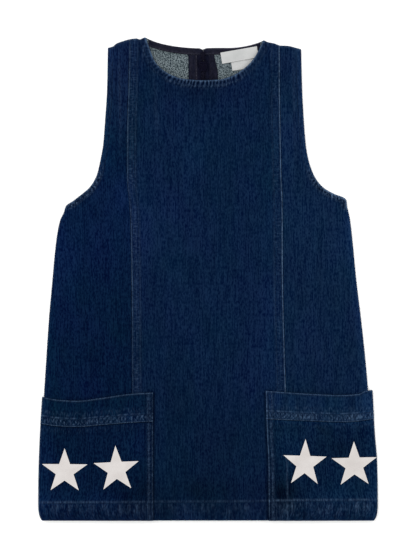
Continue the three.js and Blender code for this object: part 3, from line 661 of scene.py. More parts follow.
dyeCasts = {
    "x": [-73, -107, -80, -170, -94, -41, 18, 67, 15, -92, -137, -41, 22],
    "up": [323, 414, 405, 180, 180, 200, 410, 370, 50, 350, 303, 388, 129],
    "along": [45, 35, 35, 75, 60, 45, 20, 60, 35, 25, 25, 25, 22],
    "across": [35, 14, 14, 9, 20, 22, 24, 10, 40, 12, 20, 18, 24],
    "turn": [0, 0, 0, 5, 0, 0, 0, 0, 0, 0, 0, 0, 0],
    "share": [0.35, -1.0, -0.4, -0.9, -0.5, 0.3, 0.25, -0.6, -0.5, 0.6, 0.4, -0.3, 0.5],
}


# Each crease is a long soft mound or trough: a bell curve across and along its own turned axes
def creaseHeight(x, up, creases):
    height = np.zeros(np.broadcast(x, up).shape)
    for row in zip(*creases.values()):
        atX, atUp, alongSize, acrossSize, turn, tall = row
        angle = np.radians(turn)
        dx, dUp = x - atX, up - atUp
        along = (dUp * np.cos(angle) - dx * np.sin(angle)) / alongSize
        across = (dx * np.cos(angle) + dUp * np.sin(angle)) / acrossSize
        height += tall * np.exp(-along ** 2 - across ** 2)
    return height


def marked(*masks, fade=0.0, cast=0.0):
    first = list(masks) + [0.0] * (4 - len(masks))
    return np.stack(np.broadcast_arrays(*first, fade, cast)).astype(float)


def dyeMarks(x, up):
    return marked(fade=creaseHeight(x, up, dyeFades), cast=creaseHeight(x, up, dyeCasts))


# A turned and stitched edge: a thicker band, gathered ridges that cross it with painted shade in the
# hollows between them, a sunk stitch line with pale dashes and painted shade below it, and a pale rim.
# The pale marks are partly wear and partly painted highlight
def edgeWork(distance, along, edge, strength=1.0):
    ropes = roping(along + edge["slant"] * distance, edge["pitch"], edge["seed"])
    inBand = between(distance, 0.7, edge["band"] - 0.3, 1.2)
    sunk = lineMark(distance, edge["stitch"], 0.6)
    dashes = np.clip(ropes + 0.3, 0, 1)
    height = edge["raise"] * smooth((edge["band"] - distance) / 1.2)
    height = height + edge["relief"] * inBand * ropes * strength - 0.14 * sunk
    worn = edge["rim"] * lineMark(distance, edge["rimAt"], edge["rimWide"]) * (0.8 + 0.2 * ropes)
    worn = worn + edge["worn"] * inBand * np.clip(ropes - 0.3, 0, 1)
    worn = worn + edge["dash"] * lineMark(distance, edge["stitch"], 0.8) * dashes
    below = 0.3 * lineMark(distance, edge["stitch"] + 1.6, 0.9) * (1 - dashes)
    deep = edge["deep"] * (inBand * np.clip(-ropes - 0.1, 0, 1) + below)
    sewn = between(distance, 1.0, edge["reach"], 3.0)
    return height, marked(worn, deep, edge["ladder"] * sewn, edge["gathers"] * sewn) * strength


# The hem's stitch line climbs a little towards the right
hemLine = through([-180, -60, 30, 100, 180], [19.7, 20.5, 20.9, 22.4, 22.6])


# The hem: short upright blotches where the turned-up cloth pulls, pale on their crowns under the
# stitch line, partly wear and partly painted highlight, with painted shade between
def hemWork(x, up, strength=1.0, shift=0.0):
    edge, line = hemEdge, hemLine(x)
    across = (x + shift + edge["slant"] * up) / edge["across"]
    along = up / edge["along"]
    pulls = 0.8 * cloudy(across, along, 1, edge["seed"]) + 0.7 * cloudy(across / 2.3, along, 1, 37)
    inBand = between(up, 0.5, line - edge["below"], 2.5)
    high = smooth((up - 5) / 9)
    dashes = np.clip(0.6 + waver(x, 2.2, 43), 0, 1)
    sunk = lineMark(up, line - edge["below"], 0.6)
    height = edge["relief"] * inBand * pulls * strength - 0.12 * sunk
    worn = edge["worn"] * inBand * high * np.clip(pulls, 0, 1) + edge["rim"] * lineMark(up, 0.2, 0.7)
    worn = worn + edge["dash"] * lineMark(up, line, 1.1) * (0.4 + 0.6 * dashes)
    deep = edge["deep"] * inBand * (1 - 0.5 * high) * np.clip(-pulls - 0.05, 0, 1)
    return height, marked(worn, deep, 0.0, edge["gathers"] * inBand) * strength


# A felled seam, by distance in from its outer fold: a flat raised band with a pale fold, partly wear
# and partly painted highlight, and painted shade along its stitch lines and just beside the band
def seamWork(offset, along, look):
    width, seed = felledSeam["width"], look["seed"]
    ripple = roping(along + 0.4 * offset, felledSeam["pitch"], seed)
    inBand = between(offset, 0.6, width, 1.4)
    sunk = sum(lineMark(offset, at, 0.5) for at in felledSeam["stitches"])
    onBand = smooth((width + dress["step"] - offset) / dress["step"])
    height = felledSeam["raise"] * onBand + felledSeam["relief"] * inBand * ripple - 0.1 * sunk
    bright = 0.8 + 0.2 * waver(along, 9.0, seed + 5) + 0.15 * waver(along, 26, seed + 6)
    worn = look["fold"] * lineMark(offset, 0.4, look["foldWide"]) * look["bright"](along)
    worn = (worn + sum(share * lineMark(offset, at, 0.7) for at, share in look["inner"])) * bright
    deep = 0.12 * sunk + 0.25 * lineMark(offset, width + 1.0, 0.5)
    ladder = look["ladder"] * inBand * (1 + 0.6 * waver(along, 31, seed + 7))
    return height, marked(worn, deep, ladder)


# Below the pockets' mouths and inside their inner edges, the front lies covered and quiet
covered = {"mouth": 150, "mouthSoft": 12, "inner": 58, "innerSoft": 6, "top": 141}
# How far in the side edges are paler, and by how much on each side
sunned = {"reach": 6, "left": 0.15, "right": 0.45}


# Everything on the front's face: height above the smooth face, marks, and the distance to the
# nearest finished edge
def frontWork(x, up):
    neckAway, neckAlong = nearLine(x, up, lines["neck"])
    leftAway, leftAlong = nearLine(x, up, lines["left"])
    rightAway, rightAlong = nearLine(x, up, lines["right"])
    shoulderAway = least(*(nearLine(x, up, lines[side])[0]
                           for side in ("leftShoulder", "rightShoulder")))
    armAway = np.minimum(leftAway, rightAway)
    armAlong = np.where(leftAway < rightAway, leftAlong, rightAlong + 400)
    isArm = inArmhole(up)
    curveShare = smooth((up - 330) / 6) * smooth((386 - up) / 26)
    clear = smooth((up - covered["mouth"]) / covered["mouthSoft"])
    clear = np.clip(clear + smooth((covered["inner"] - np.abs(x)) / covered["innerSoft"]), 0, 1)
    soft = clear * smooth((up - 30) / 20)
    steep = smooth((np.abs(x + 4) - 34) / 16)
    narrow = creaseHeight(x, up, strapCreases)
    neckHeight, neckMarks = edgeWork(neckAway, neckAlong, neckEdge, 1 - 0.6 * steep)
    armHeight, armMarks = edgeWork(armAway, armAlong, armEdge, 0.12 + 0.88 * curveShare)
    hemHeight, hemMarks = hemWork(x, up, 0.75 + 0.45 * cloudy(x, up, 24, 8))
    height = narrow + neckHeight + armHeight * isArm + hemHeight * clear
    height = height + creaseHeight(x, up, frontCreases) * soft
    height = height + 0.12 * cloudy(x, up, 34, 3) * soft * smooth(armAway / 20)
    # Pale marks, partly wear and partly painted highlight: the steep neck edge, crease crowns, the left
    # strap, the right armhole's rim, the side edges below the armholes and the shoulder edges
    pale = 0.3 * steep * lineMark(neckAway, 0.5, 0.9) + 0.3 * np.clip(narrow, 0, 1)
    pale = pale + 0.02 * smooth((up - 380) / 80) * smooth((-82 - x) / 6)
    pale = pale + 0.4 * lineMark(armAway, 0.9, 1.4) * smooth((x - 118) / 12) * isArm
    pale = pale + 0.1 * lineMark(armAway, 0.3, 0.9) * (1 - isArm)
    pale = pale + 0.18 * lineMark(shoulderAway, 0.4, 1.2)
    # A painted shadow on the front beside each pocket's inner edge, below the pockets' tops
    fromPocket = np.where(x < 0, x + 59.2, 64.9 - 0.018 * up - x)
    shaded = 0.55 * between(fromPocket, -2, 3.2, 1.6) * smooth((covered["top"] - up) / 3)
    bleached = np.where(x < 0, sunned["left"], sunned["right"]) * (1 - curveShare)
    bleached = bleached * np.exp(-(armAway / sunned["reach"]) ** 2)
    marks = neckMarks + armMarks * isArm + hemMarks + dyeMarks(x, up)
    # Painted shadow in the narrow creases' troughs and beside the pockets
    marks = marks + marked(pale, 1.3 * np.clip(-narrow, 0, 1) + shaded,
                           fade=0.08 * cloudy(x / 6, up / 30, 1, 91) + bleached)
    return height, marks, least(neckAway, armAway, shoulderAway, up)


# Rows that are close at the hem and at the top edge, where the sewing is
hemLevels = np.r_[0, 0.15, 0.4, 0.8, np.linspace(1.5, 25, 28)]
closing = 1 - np.linspace(1, 0, 44)[1:] ** 1.55
sideRows = {
    "levels": np.r_[hemLevels, np.linspace(28, 316, 72), np.linspace(317.2, 378, 52),
                    np.linspace(380.5, 438, 24)],
    "shares": closing,
}
middleRows = {"levels": np.r_[hemLevels, np.linspace(28.5, 438, 92)], "shares": closing}


# Level rows for each column, then rows that close up to the column's top edge
def rowsTo(top, rows):
    upper = mix(rows["levels"][-1], top[:, None], rows["shares"][None])
    return np.concatenate([np.tile(rows["levels"], (len(top), 1)), upper], 1)


# Points of a panel: each column has its place at a height, and ends at the panel's top edge
def panelGrid(columnX, topOf, rows):
    up = rowsTo(topOf(columnX(np.array([dress["length"]]))[:, 0]), rows)
    each = np.arange(len(up))
    x = np.stack([columnX(up[:, j])[each, each] for j in range(up.shape[1])], 1)
    return x, up


# Marks by name, outside and inside of a wall
def markSides(outside, inside=None):
    inside = marked() if inside is None else inside
    return {mark: (outside[k], inside[k]) for k, mark in enumerate(markNames)}


# A wall of the front from its columns. Each seam has its line, the side on which the panel lies
# and, where the panel carries the felled band, the band's look
def frontPanel(name, columnX, seams, panel):
    x, up = panelGrid(columnX, frontTop, panel["rows"])
    height, marks, away = frontWork(x, up)
    for seam, sign, look in seams:
        offset = (x - seam(up)) * sign
        if look:
            seamHeight, seamMarks = seamWork(offset, up, look)
            height, marks = height + seamHeight, marks + seamMarks
        away = np.minimum(away, offset + 0.1)
    face = frontFace(x, up)
    roll = rolled(away, dress["roll"])
    outer = face + height + dress["hemStep"] * onHem(up) - roll
    inner = face - dress["cloth"] - (dress["cloth"] - dress["hemStep"]) * onHem(up) + roll * 0.9
    uv = drawn(x + panel["shift"] + panel["tilt"] * up, up + panel["shift"] * 3)
    outerGrid = planPoints(x, up, outer)
    made = clothWall(name, outerGrid, planPoints(x, up, inner),
                     [finishes[panel["finish"]], finishes["denimInside"]], uv, markSides(marks))
    return made, outerGrid


# Distances in from a felled seam's fold at which a panel has columns
seamIn = np.array([0.15, 0.4, 0.8, 1.3, 2.0, 3.0, 4.2, 5.4, 6.6, 7.6, 8.4, 9.0, 9.5, 10.0, 10.6])
sideShares = np.r_[0, 0.0015, 0.004, 0.008, np.linspace(0.014, 0.985, 78), 0.992, 0.997, 1]


# Columns of the middle panel: set distances in from each seam, and even shares between
def centrePlaces(up):
    shares = np.linspace(0, 1, 204)[1:-1]
    left = leftSeam(up)[None] + seamIn[:, None]
    right = rightSeam(up)[None] - seamIn[::-1, None]
    return np.concatenate([left, mix(left[-1:], right[:1], shares[:, None]), right])


def leftPlaces(up):
    return mix(bodyLeft(up)[None], leftSeam(up)[None] - gapHalf, sideShares[:, None])


def rightPlaces(up):
    return mix(rightSeam(up)[None] + gapHalf, bodyRight(up)[None], 1 - sideShares[::-1, None])


frontMiddle, middleGrid = frontPanel(
    "frontMiddle", centrePlaces,
    ((leftSeam, 1, seamLooks["left"]), (rightSeam, -1, seamLooks["right"])),
    {"shift": 0.0, "tilt": 0.002, "finish": "denimFace", "rows": middleRows})
frontLeft, frontLeftGrid = frontPanel(
    "frontLeft", leftPlaces, ((leftSeam, -1, None),),
    {"shift": 311.0, "tilt": 0.012, "finish": "denimFaceLeft", "rows": sideRows})
frontRight, frontRightGrid = frontPanel(
    "frontRight", rightPlaces, ((rightSeam, 1, None),),
    {"shift": 697.0, "tilt": -0.014, "finish": "denimFaceRight", "rows": sideRows})
print("front panels made")

# The two halves of the back
backRows = {
    "levels": np.r_[0, 0.15, 0.4, 0.8, np.linspace(1.6, 24, 20), np.linspace(28, 452, 106)],
    "shares": 1 - np.linspace(1, 0, 36)[1:] ** 1.4,
}
backEdge = {"neckStitch": 5.0, "armStitch": 5.4, "zipStitch": 6.5, "seamStitch": 1.8,
            "zipFoot": 322.0, "groove": 0.3, "rim": 0.3, "roll": 0.5}


# A half of the back: its upper side is the inside of the dress and its flat underside the outside
def backPanel(name, columnX, seam, panel):
    x, up = panelGrid(columnX, backTop, backRows)
    neckAway, sideAway, shoulderAway = (
        nearLine(x, up, lines[key])[0]
        for key in ("backNeck", panel["side"], panel["side"] + "Shoulder"))
    centreAway = np.abs(x - centreBackX(up))
    seamOffset = (x - seam(up)) * panel["inward"]
    isArm = inArmhole(up)
    atZip = smooth((up - backEdge["zipFoot"]) / 4)
    sewn = lineMark(neckAway, backEdge["neckStitch"], 0.5)
    sewn = sewn + lineMark(sideAway, backEdge["armStitch"], 0.5) * isArm
    sewn = sewn + lineMark(up, hemLine(x) - hemEdge["below"], 0.5)
    sewn = sewn + lineMark(centreAway, mix(backEdge["seamStitch"], backEdge["zipStitch"], atZip), 0.5)
    groove = backEdge["groove"] * np.clip(sewn, 0, 1) + 0.25 * lineMark(seamOffset, 0, 0.5)
    groove = groove + 0.12 * (1 + roping(x, 5.5, 71)) * between(up, 2, 18, 4)
    worn = 0.2 * sewn + backEdge["rim"] * lineMark(neckAway, 0.3, 0.9)
    worn = worn + 0.25 * lineMark(sideAway, 0.3, 0.9) * isArm + 0.2 * lineMark(up, 0.3, 0.9)
    lowMarks = seamWork(seamOffset, up, seamLooks[panel["side"]])[1]
    lowMarks = lowMarks * smooth((seamOffset + 0.4) / 0.4) + hemWork(x, up, shift=200)[1]
    lowMarks = lowMarks + marked(worn, 0.0, 0.0, 0.15 * between(neckAway, 1, 9, 3))
    away = least(neckAway, sideAway, shoulderAway, up, centreAway - gapHalf + 0.05)
    roll = 0.9 * rolled(away, backEdge["roll"])
    quiet = 0.06 * cloudy(x, up, 26, 77) * smooth((460 - up) / 40)
    grid = planPoints(x, up, dress["cloth"] * (1 + onHem(up)) + quiet - roll)
    low = planPoints(x, up, np.clip(groove, 0, 0.45) + roll)
    uv = drawn(-x + panel["shift"], up + panel["tilt"] * x)
    # On the inside, a painted shadow under the binding's lower edge
    marks = markSides(marked(0.0, 0.15 * lineMark(neckAway, 8.4, 1.0)), lowMarks)
    made = clothWall(name, grid, low, [finishes["denimInside"], finishes["denimFace"]], uv, marks,
                     rimSlot=1)
    return made, grid


# Columns of a back half from its side to the centre: set distances in from the seam and out from
# the centre, and shares between them
def backPlaces(side, seam, centre):
    fromSide = np.r_[0, 0.006, 0.015, np.linspace(0.035, 1, 34)[:-1]]
    centreIn = np.array([8.4, 7.4, 6.9, 6.5, 6.1, 5.6, 4.2, 3.0, 2.3, 1.8, 1.3, 0.7, 0.3, 0.1, 0])
    inward = np.sign(centre - side)
    onSeam = seam + inward * np.r_[-1.2, -0.5, -0.1, seamIn][:, None]
    atCentre = centre - inward * centreIn[:, None]
    first = mix(side[None], onSeam[:1], fromSide[:, None])
    middle = mix(onSeam[-1:], atCentre[:1], np.linspace(0, 1, 36)[1:-1, None])
    return np.concatenate([first, onSeam, middle, atCentre])


def backLeftPlaces(up):
    return backPlaces(bodyLeft(up), leftSeam(up), centreBackX(up) - gapHalf)


def backRightPlaces(up):
    return backPlaces(bodyRight(up), rightSeam(up), centreBackX(up) + gapHalf)[::-1]


backLeft, backLeftGrid = backPanel(
    "backLeft", backLeftPlaces, leftSeam,
    {"side": "left", "inward": 1, "shift": 0.0, "tilt": 0.01})
backRight, backRightGrid = backPanel(
    "backRight", backRightPlaces, rightSeam,
    {"side": "right", "inward": -1, "shift": 262.0, "tilt": -0.01})
print("back panels made")

# Pieces inside the back of the neck: the heights that they lie at
onBack = dress["cloth"] + dress["seamGap"]
onBinding = onBack + dress["fine"] + dress["seamGap"]


# A flat piece of fine cloth on a level base, its edges rounded by distance in from them
def flatCloth(name, x, up, base, away, relief, finish, marks, uv=None, thick=dress["fine"]):
    roll = rolled(away, 0.45)
    outer = planPoints(x, up, base + thick + relief - roll)
    inner = planPoints(x, up, base + 0.6 * roll)
    uv = drawn(x, up) if uv is None else uv
    return clothWall(name, outer, inner, [finishes[finish]] * 2, uv, markSides(marks)), outer


bindingShape = {"width": 7.2, "inset": 3.2, "stitch": 6.0, "shadow": 12}


# A bias binding along one half of the back neckline, puckered and stitched along its lower edge
def bindingStrip(name, fromX, toX, seed, foldPale):
    across = np.linspace(0, 1, 90)[:, None]
    depth = np.r_[7.2, 7.1, 6.9, 6.6, np.linspace(6.2, 0.6, 15), 0.3, 0.1, 0][None]
    x = mix(fromX, toX, across) + 0 * depth
    up = backNeckUp(x) - depth
    ends = np.minimum(np.abs(x - fromX), np.abs(x - toX))
    puckers = roping(x + 0.5 * depth, 3.6, seed) * between(depth, 3.8, 7.2, 1.4)
    sewn = lineMark(depth, bindingShape["stitch"], 0.45)
    relief = 0.07 * puckers - 0.12 * sewn - 0.05
    # A painted highlight along the top fold, and painted shade toward both ends
    worn = 0.12 + 0.4 * sewn + foldPale * lineMark(depth, 0.5, 0.9) + 0.12 * np.clip(puckers, 0, 1)
    marks = marked(worn, 0.6 * smooth((bindingShape["shadow"] - ends) / bindingShape["shadow"]),
                   fade=0.25 * cloudy(x / 3, depth / 2.5, 1, seed + 1))
    return flatCloth(name, x, up, onBack, least(ends, depth, bindingShape["width"] - depth),
                     relief, "navyTape", marks, drawn(up + 0.8 * x, x - 0.8 * up))[0]


middleX = centreBackX(dress["length"])
bindingLeft = bindingStrip("bindingLeft", neck["leftX"] + bindingShape["inset"],
                           middleX - gapHalf, 101, 0.2)
bindingRight = bindingStrip("bindingRight", middleX + gapHalf,
                            neck["rightX"] - bindingShape["inset"], 103, 0.45)

zipShape = {"foot": 322.0, "gap": 0.2, "halfGap": 0.4, "stitch": 7.0, "flareLength": 20.0,
            "rib": 1.3, "fold": 10.2}
tapeSides = {
    "zipTapeLeft": {"out": -1, "seed": 107, "wide": 15.5, "flare": 0.0, "sewnPale": 0.75,
                    "pale": 0.1, "edgeDeep": 1.2, "foldDeep": 0.4},
    "zipTapeRight": {"out": 1, "seed": 109, "wide": 15.4, "flare": 3.6, "sewnPale": 0.15,
                     "pale": 0.07, "edgeDeep": 0.3, "foldDeep": 0.1},
}


# Where the tapes end, under the binding
def tapeEnd(x):
    return backNeckUp(x) - bindingShape["width"] - zipShape["gap"]


tapeTop = float(tapeEnd(np.array(middleX)))


# A zip tape: ribs woven along it, a sewing line, and a firm edge beside the coil
def zipTape(name, side):
    foot, stitch, seed = zipShape["foot"], zipShape["stitch"], side["seed"]
    share = np.r_[0, 0.01, 0.03, np.linspace(0.06, 0.95, 22), 0.975, 0.992, 1][::side["out"], None]
    level = np.r_[foot, foot + 0.4, np.linspace(324, 470, 40),
                  np.linspace(471.5, tapeTop - 0.6, 34), tapeTop - 0.2, tapeTop][None]
    wide = side["wide"] - side["flare"] * smooth((level - tapeTop) / zipShape["flareLength"] + 1)
    inward = share * wide
    x = centreBackX(level) + side["out"] * (zipShape["halfGap"] + inward)
    upper = tapeEnd(x)
    up = mix(foot, upper, (level - foot) / (tapeTop - foot))
    sewn = lineMark(inward, stitch, 0.45)
    relief = 0.03 * np.sin(2 * np.pi * inward / zipShape["rib"]) - 0.14 * sewn - 0.1
    relief = relief + 0.08 * cloudy(x, up, 14, seed)
    relief = relief + 0.05 * roping(up, 4.0, seed) * lineMark(inward, stitch, 2.0)
    worn = side["sewnPale"] * sewn + side["pale"] * smooth((inward - 7.4) / 1.2)
    # Painted shade on the tape near the coil, along its outer edge and along its fold
    deep = 0.2 * smooth((7.0 - inward) / 2) + side["edgeDeep"] * lineMark(inward, wide, 0.9)
    deep = deep + side["foldDeep"] * lineMark(inward, zipShape["fold"], 1.6)
    marks = marked(worn, deep, fade=0.3 * cloudy(x / 2.2, up / 3, 1, seed + 1))
    return flatCloth(name, x, up, onBack, least(inward, wide - inward, up - foot, upper - up),
                     relief, "navyTape", marks)


(tapeLeft, tapeLeftGrid), (tapeRight, tapeRightGrid) = (
    zipTape(name, side) for name, side in tapeSides.items())


# Faces round stacks of rings, from the numbers of the points, index[..., ring, side]
def ringWalls(index):
    after = np.roll(index, -1, axis=-1)
    return quads(index[..., :-1, :], index[..., 1:, :], after[..., 1:, :], after[..., :-1, :])


def unit(vectors):
    return vectors / np.maximum(np.linalg.norm(vectors, axis=-1, keepdims=True), 1e-9)


# Tubes along many short paths at once. paths is [path, ring, 3]; each ring is an oval of so many
# sides, `wide` across the path and `high` upright, closed by a flat face at each end
def tubeSet(paths, wide, high, sides=6):
    count, rings = paths.shape[:2]
    along = np.gradient(paths, axis=1)
    across = unit(np.stack([along[..., 1], -along[..., 0], 0 * along[..., 0]], -1))
    upright = unit(np.cross(across, along))
    angle = np.arange(sides) * 2 * np.pi / sides
    wide, high = (np.broadcast_to(half, (count, rings))[..., None, None] for half in (wide, high))
    points = paths[:, :, None] + across[:, :, None] * np.cos(angle)[:, None] * wide
    points = points + upright[:, :, None] * np.sin(angle)[:, None] * high
    index = np.arange(count * rings * sides).reshape(count, rings, sides)
    caps = np.concatenate([index[:, 0], index[:, -1, ::-1]])
    return points.reshape(-1, 3), [(ringWalls(index), 0), (caps, 0)]


# Joins sets of points and faces into one
def joined(*sets):
    points, faces, start = [], [], 0
    for somePoints, someFaces in sets:
        faces += [(group + start, slot) for group, slot in someFaces]
        points.append(somePoints)
        start += len(somePoints)
    return np.concatenate(points), faces


# Stitches along drawn rows: each thread rises from the cloth and dips back into it, so its height
# and thickness follow a half cosine along it
def stitchPaths(row, thread):
    run = np.r_[0, np.cumsum(np.linalg.norm(np.diff(row, axis=0), axis=1))]
    starts = np.arange(thread["pitch"] * 0.5, run[-1] - thread["pitch"] * 0.5, thread["pitch"])
    places = starts[:, None] + np.linspace(-0.5, 0.5, 5)[None] * thread["length"]
    paths = np.stack([np.interp(places, run, row[:, k]) for k in range(3)], -1)
    paths[..., 2] += thread["lift"] * np.cos(np.linspace(-1.45, 1.45, 5)) - thread["sink"]
    return paths


def stitches(name, rows, finish, thread):
    paths = np.concatenate([stitchPaths(row, thread) for row in rows])
    thin = 0.55 + 0.45 * np.cos(np.linspace(-1.4, 1.4, 5))
    points, faces = tubeSet(paths, thread["wide"] * thin, thread["high"] * thin)
    print(name, "has", len(paths), "stitches")
    return meshObject(name, points, faces, [finishes[finish]])


# One loop of the coil: distances from the middle toward its own tape, heights, and lean
coilLoop = {"pitch": 1.5, "start": 3, "past": 4.5, "wide": 0.36, "high": 0.3, "lean": 0.12,
            "away": np.array([2.7, 2.75, 2.3, 1.2, 0.1, -0.7, -0.9]),
            "rise": np.array([2.35, 2.75, 3.05, 3.15, 3.1, 2.9, 2.6])}


# The zip's coil: loops that start on each tape, cross the middle and turn under, in turn
def zipCoil():
    pitch, lean = coilLoop["pitch"], np.linspace(-coilLoop["lean"], coilLoop["lean"], 7)
    ups = np.arange(zipShape["foot"] + coilLoop["start"], tapeTop + coilLoop["past"], pitch)
    paths = [planPoints(centreBackX(at)[:, None] + out * coilLoop["away"], at[:, None] + lean,
                        coilLoop["rise"])
             for out, at in ((-1, ups), (1, ups + pitch / 2))]
    points, faces = tubeSet(np.concatenate(paths), coilLoop["wide"], coilLoop["high"])
    return meshObject("zipCoil", points, faces, [finishes["coilNylon"]])


coil = zipCoil()

sliderShape = {"up": 488.5, "length": 10.5, "head": 4.5, "foot": 3.2, "thick": 1.5, "rail": 0.62,
               "bridge": 0.85, "rings": 26, "sides": 28, "tubeSides": 10}


# The slider's half width at a share of its length
def sliderHalf(share):
    return mix(sliderShape["foot"], sliderShape["head"], smooth(share * 1.15))


# The slider's plate: squared ovals along its length, which close at both ends
def sliderPlate(centre, base):
    rings, sides, thick = (sliderShape[key] for key in ("rings", "sides", "thick"))
    along = np.linspace(0, 1, rings)[:, None]
    ending = np.clip(1 - np.abs(2 * along - 1) ** 9, 0, 1) ** 0.32 + 1e-3
    angle = np.arange(sides) * 2 * np.pi / sides
    cross = np.sign(np.cos(angle)) * np.abs(np.cos(angle)) ** 0.45
    tall = np.sign(np.sin(angle)) * np.abs(np.sin(angle)) ** 0.6
    wide = sliderHalf(along) * mix(0.62, 1, ending) * ending ** 0.3
    points = planPoints(centre + wide * cross, base + sliderShape["length"] * along,
                        onBinding + thick / 2 * (1 + ending * tall))
    index = np.arange(rings * sides).reshape(rings, sides)
    caps = np.stack([index[0], index[-1, ::-1]])
    return points.reshape(-1, 3), [(ringWalls(index)[:, ::-1], 0), (caps[:, ::-1].copy(), 0)]


# The slider: its plate, rolled rails along the sides, two shoulders and an arched bridge
def zipSlider():
    centre, length = float(centreBackX(sliderShape["up"])), sliderShape["length"]
    base, top = sliderShape["up"] - length / 2, onBinding + sliderShape["thick"]
    bothSides = np.array([[-1], [1]])
    share, arch, out = np.linspace(0.04, 0.97, 18), np.linspace(0, 1, 18), np.linspace(0, 1, 8)
    rails = planPoints(centre + bothSides * (sliderHalf(share) - 0.35), base + length * share,
                       top - 0.05 + 0.25 * np.sin(np.pi * share))
    bridge = planPoints(centre, base + 1.2 + 8.2 * arch,
                        onBinding + 1.1 + np.sin(np.pi * arch) ** 0.6)[None]
    heads = planPoints(centre + bothSides * mix(0.9, 3.9, out),
                       base + length - 1.3 - 0.9 * (1 - out) ** 2, top + 0.1)
    sides = sliderShape["tubeSides"]
    points, faces = joined(sliderPlate(centre, base),
                           tubeSet(rails, sliderShape["rail"], sliderShape["rail"], sides),
                           tubeSet(bridge, sliderShape["bridge"], 0.45, sides),
                           tubeSet(heads, 0.75, 0.5, sides))
    return meshObject("zipSlider", points, faces, [finishes["sliderLacquer"]])


slider = zipSlider()

labels = {
    "labelMain": {"x": 34.0, "up": 500.8, "width": 40.0, "height": 12.2, "turn": 10.0,
                  "base": onBinding, "seed": 113, "lift": 0.15},
    "labelSize": {"x": 37.2, "up": 492.0, "width": 24.0, "height": 13.0, "turn": 8.5,
                  "base": onBack, "seed": 127, "lift": 0.1},
}


# A satin label: a turned rectangle with soft waves, its edges rounded, with a shallow line sunk just
# inside them
def satinLabel(name, label):
    turn = np.radians(label["turn"])
    across = np.linspace(-0.5, 0.5, 72)[:, None] * label["width"]
    along = np.linspace(-0.5, 0.5, 30)[None] * label["height"]
    x = label["x"] + across * np.cos(turn) - along * np.sin(turn)
    up = label["up"] + across * np.sin(turn) + along * np.cos(turn)
    away = least(label["width"] / 2 - np.abs(across), label["height"] / 2 - np.abs(along))
    relief = label["lift"] * (0.6 * cloudy(x, up, 9, label["seed"]) - 0.7)
    relief = relief - 0.1 * lineMark(away, 1.1, 0.35)
    # The label's edges get a painted highlight
    return flatCloth(name, x, up, label["base"], away, relief, "labelSatin",
                     marked(0.5 * lineMark(away, 0.2, 0.4)), thick=0.85)[0]


labelMain, labelSize = (satinLabel(name, label) for name, label in labels.items())
print("neck pieces made")

# Pockets
pocketBuild = {"strip": 7.2, "stripRaise": 0.6, "gape": 2.4, "gapeReach": 62.0, "turn": 2.1,
               "lipFoot": 0.5, "innerInset": 1.2, "innerTurn": 0.9, "bandCloth": 2.0,
               "ridge": 9.0, "ridgeRaise": 0.7, "hemReach": 8}
pockets = {
    "Left": {
        "out": -1, "seed": 131,
        "edgeUp": [0, 4, 13, 34, 64, 95, 138],
        "outer": [178.6, 180.9, 182.5, 182.8, 182.2, 180.9, 178.3],
        "inner": [58.8, 58.9, 59.0, 59.2, 59.2, 59.2, 59.2],
        "across": [0, 0.14, 0.32, 0.53, 0.8, 1],
        "mouth": [132.8, 130.0, 129.0, 131.9, 136.4, 137.8],
        "foot": [104.2, 101.8, 101.0, 103.0, 105.6, 106.8],
        "pale": ((0.2, 0.3), (4.0, 0.15), (5.0, 0.1)), "dark": ((1.5, 0.4), (8.2, 0.5)),
        "bandPale": ((0.0, 0.3), (3.2, 0.09), (4.6, 0.12), (5.8, 0.12)), "hemShare": 0.95,
        "footShade": 0.4, "footFade": 0.1,
        "sewn": (1.6, 6.4), "telegraph": 0.0, "ridgePale": 0.0,
        "stars": {
            "starLeftOuter": {"x": -154.0, "up": 53.0, "turn": 0.0, "wide": 1.0, "tall": 0.965},
            "starLeftInner": {"x": -98.3, "up": 55.2, "turn": 2.6, "wide": 0.985, "tall": 0.995},
        },
    },
    "Right": {
        "out": 1, "seed": 151,
        "edgeUp": [0, 4, 13, 34, 64, 95, 140],
        "outer": [178.6, 181.0, 182.5, 182.8, 182.1, 179.6, 177.2],
        "inner": [65.6, 65.5, 65.3, 65.0, 64.6, 63.2, 61.9],
        "across": [0, 0.06, 0.14, 0.3, 0.56, 1],
        "mouth": [140.2, 139.6, 136.0, 135.1, 136.3, 139.6],
        "foot": [109.4, 108.4, 107.2, 106.3, 107.3, 109.4],
        "pale": ((0.6, 0.4), (4.4, 0.26), (6.0, 0.12)), "dark": ((2.4, 0.75), (8.4, 0.6)),
        "bandPale": ((0.6, 0.4), (6.2, 0.32)), "hemShare": 1.2, "footShade": 0.12, "footFade": 0.5,
        "sewn": (2.0, 6.4), "telegraph": 0.17, "ridgePale": 0.11,
        "stars": {
            "starRightInner": {"x": 104.0, "up": 61.6, "turn": -1.7, "wide": 0.94, "tall": 1.02},
            "starRightOuter": {"x": 157.2, "up": 59.8, "turn": 1.0, "wide": 0.995, "tall": 0.985},
        },
    },
}


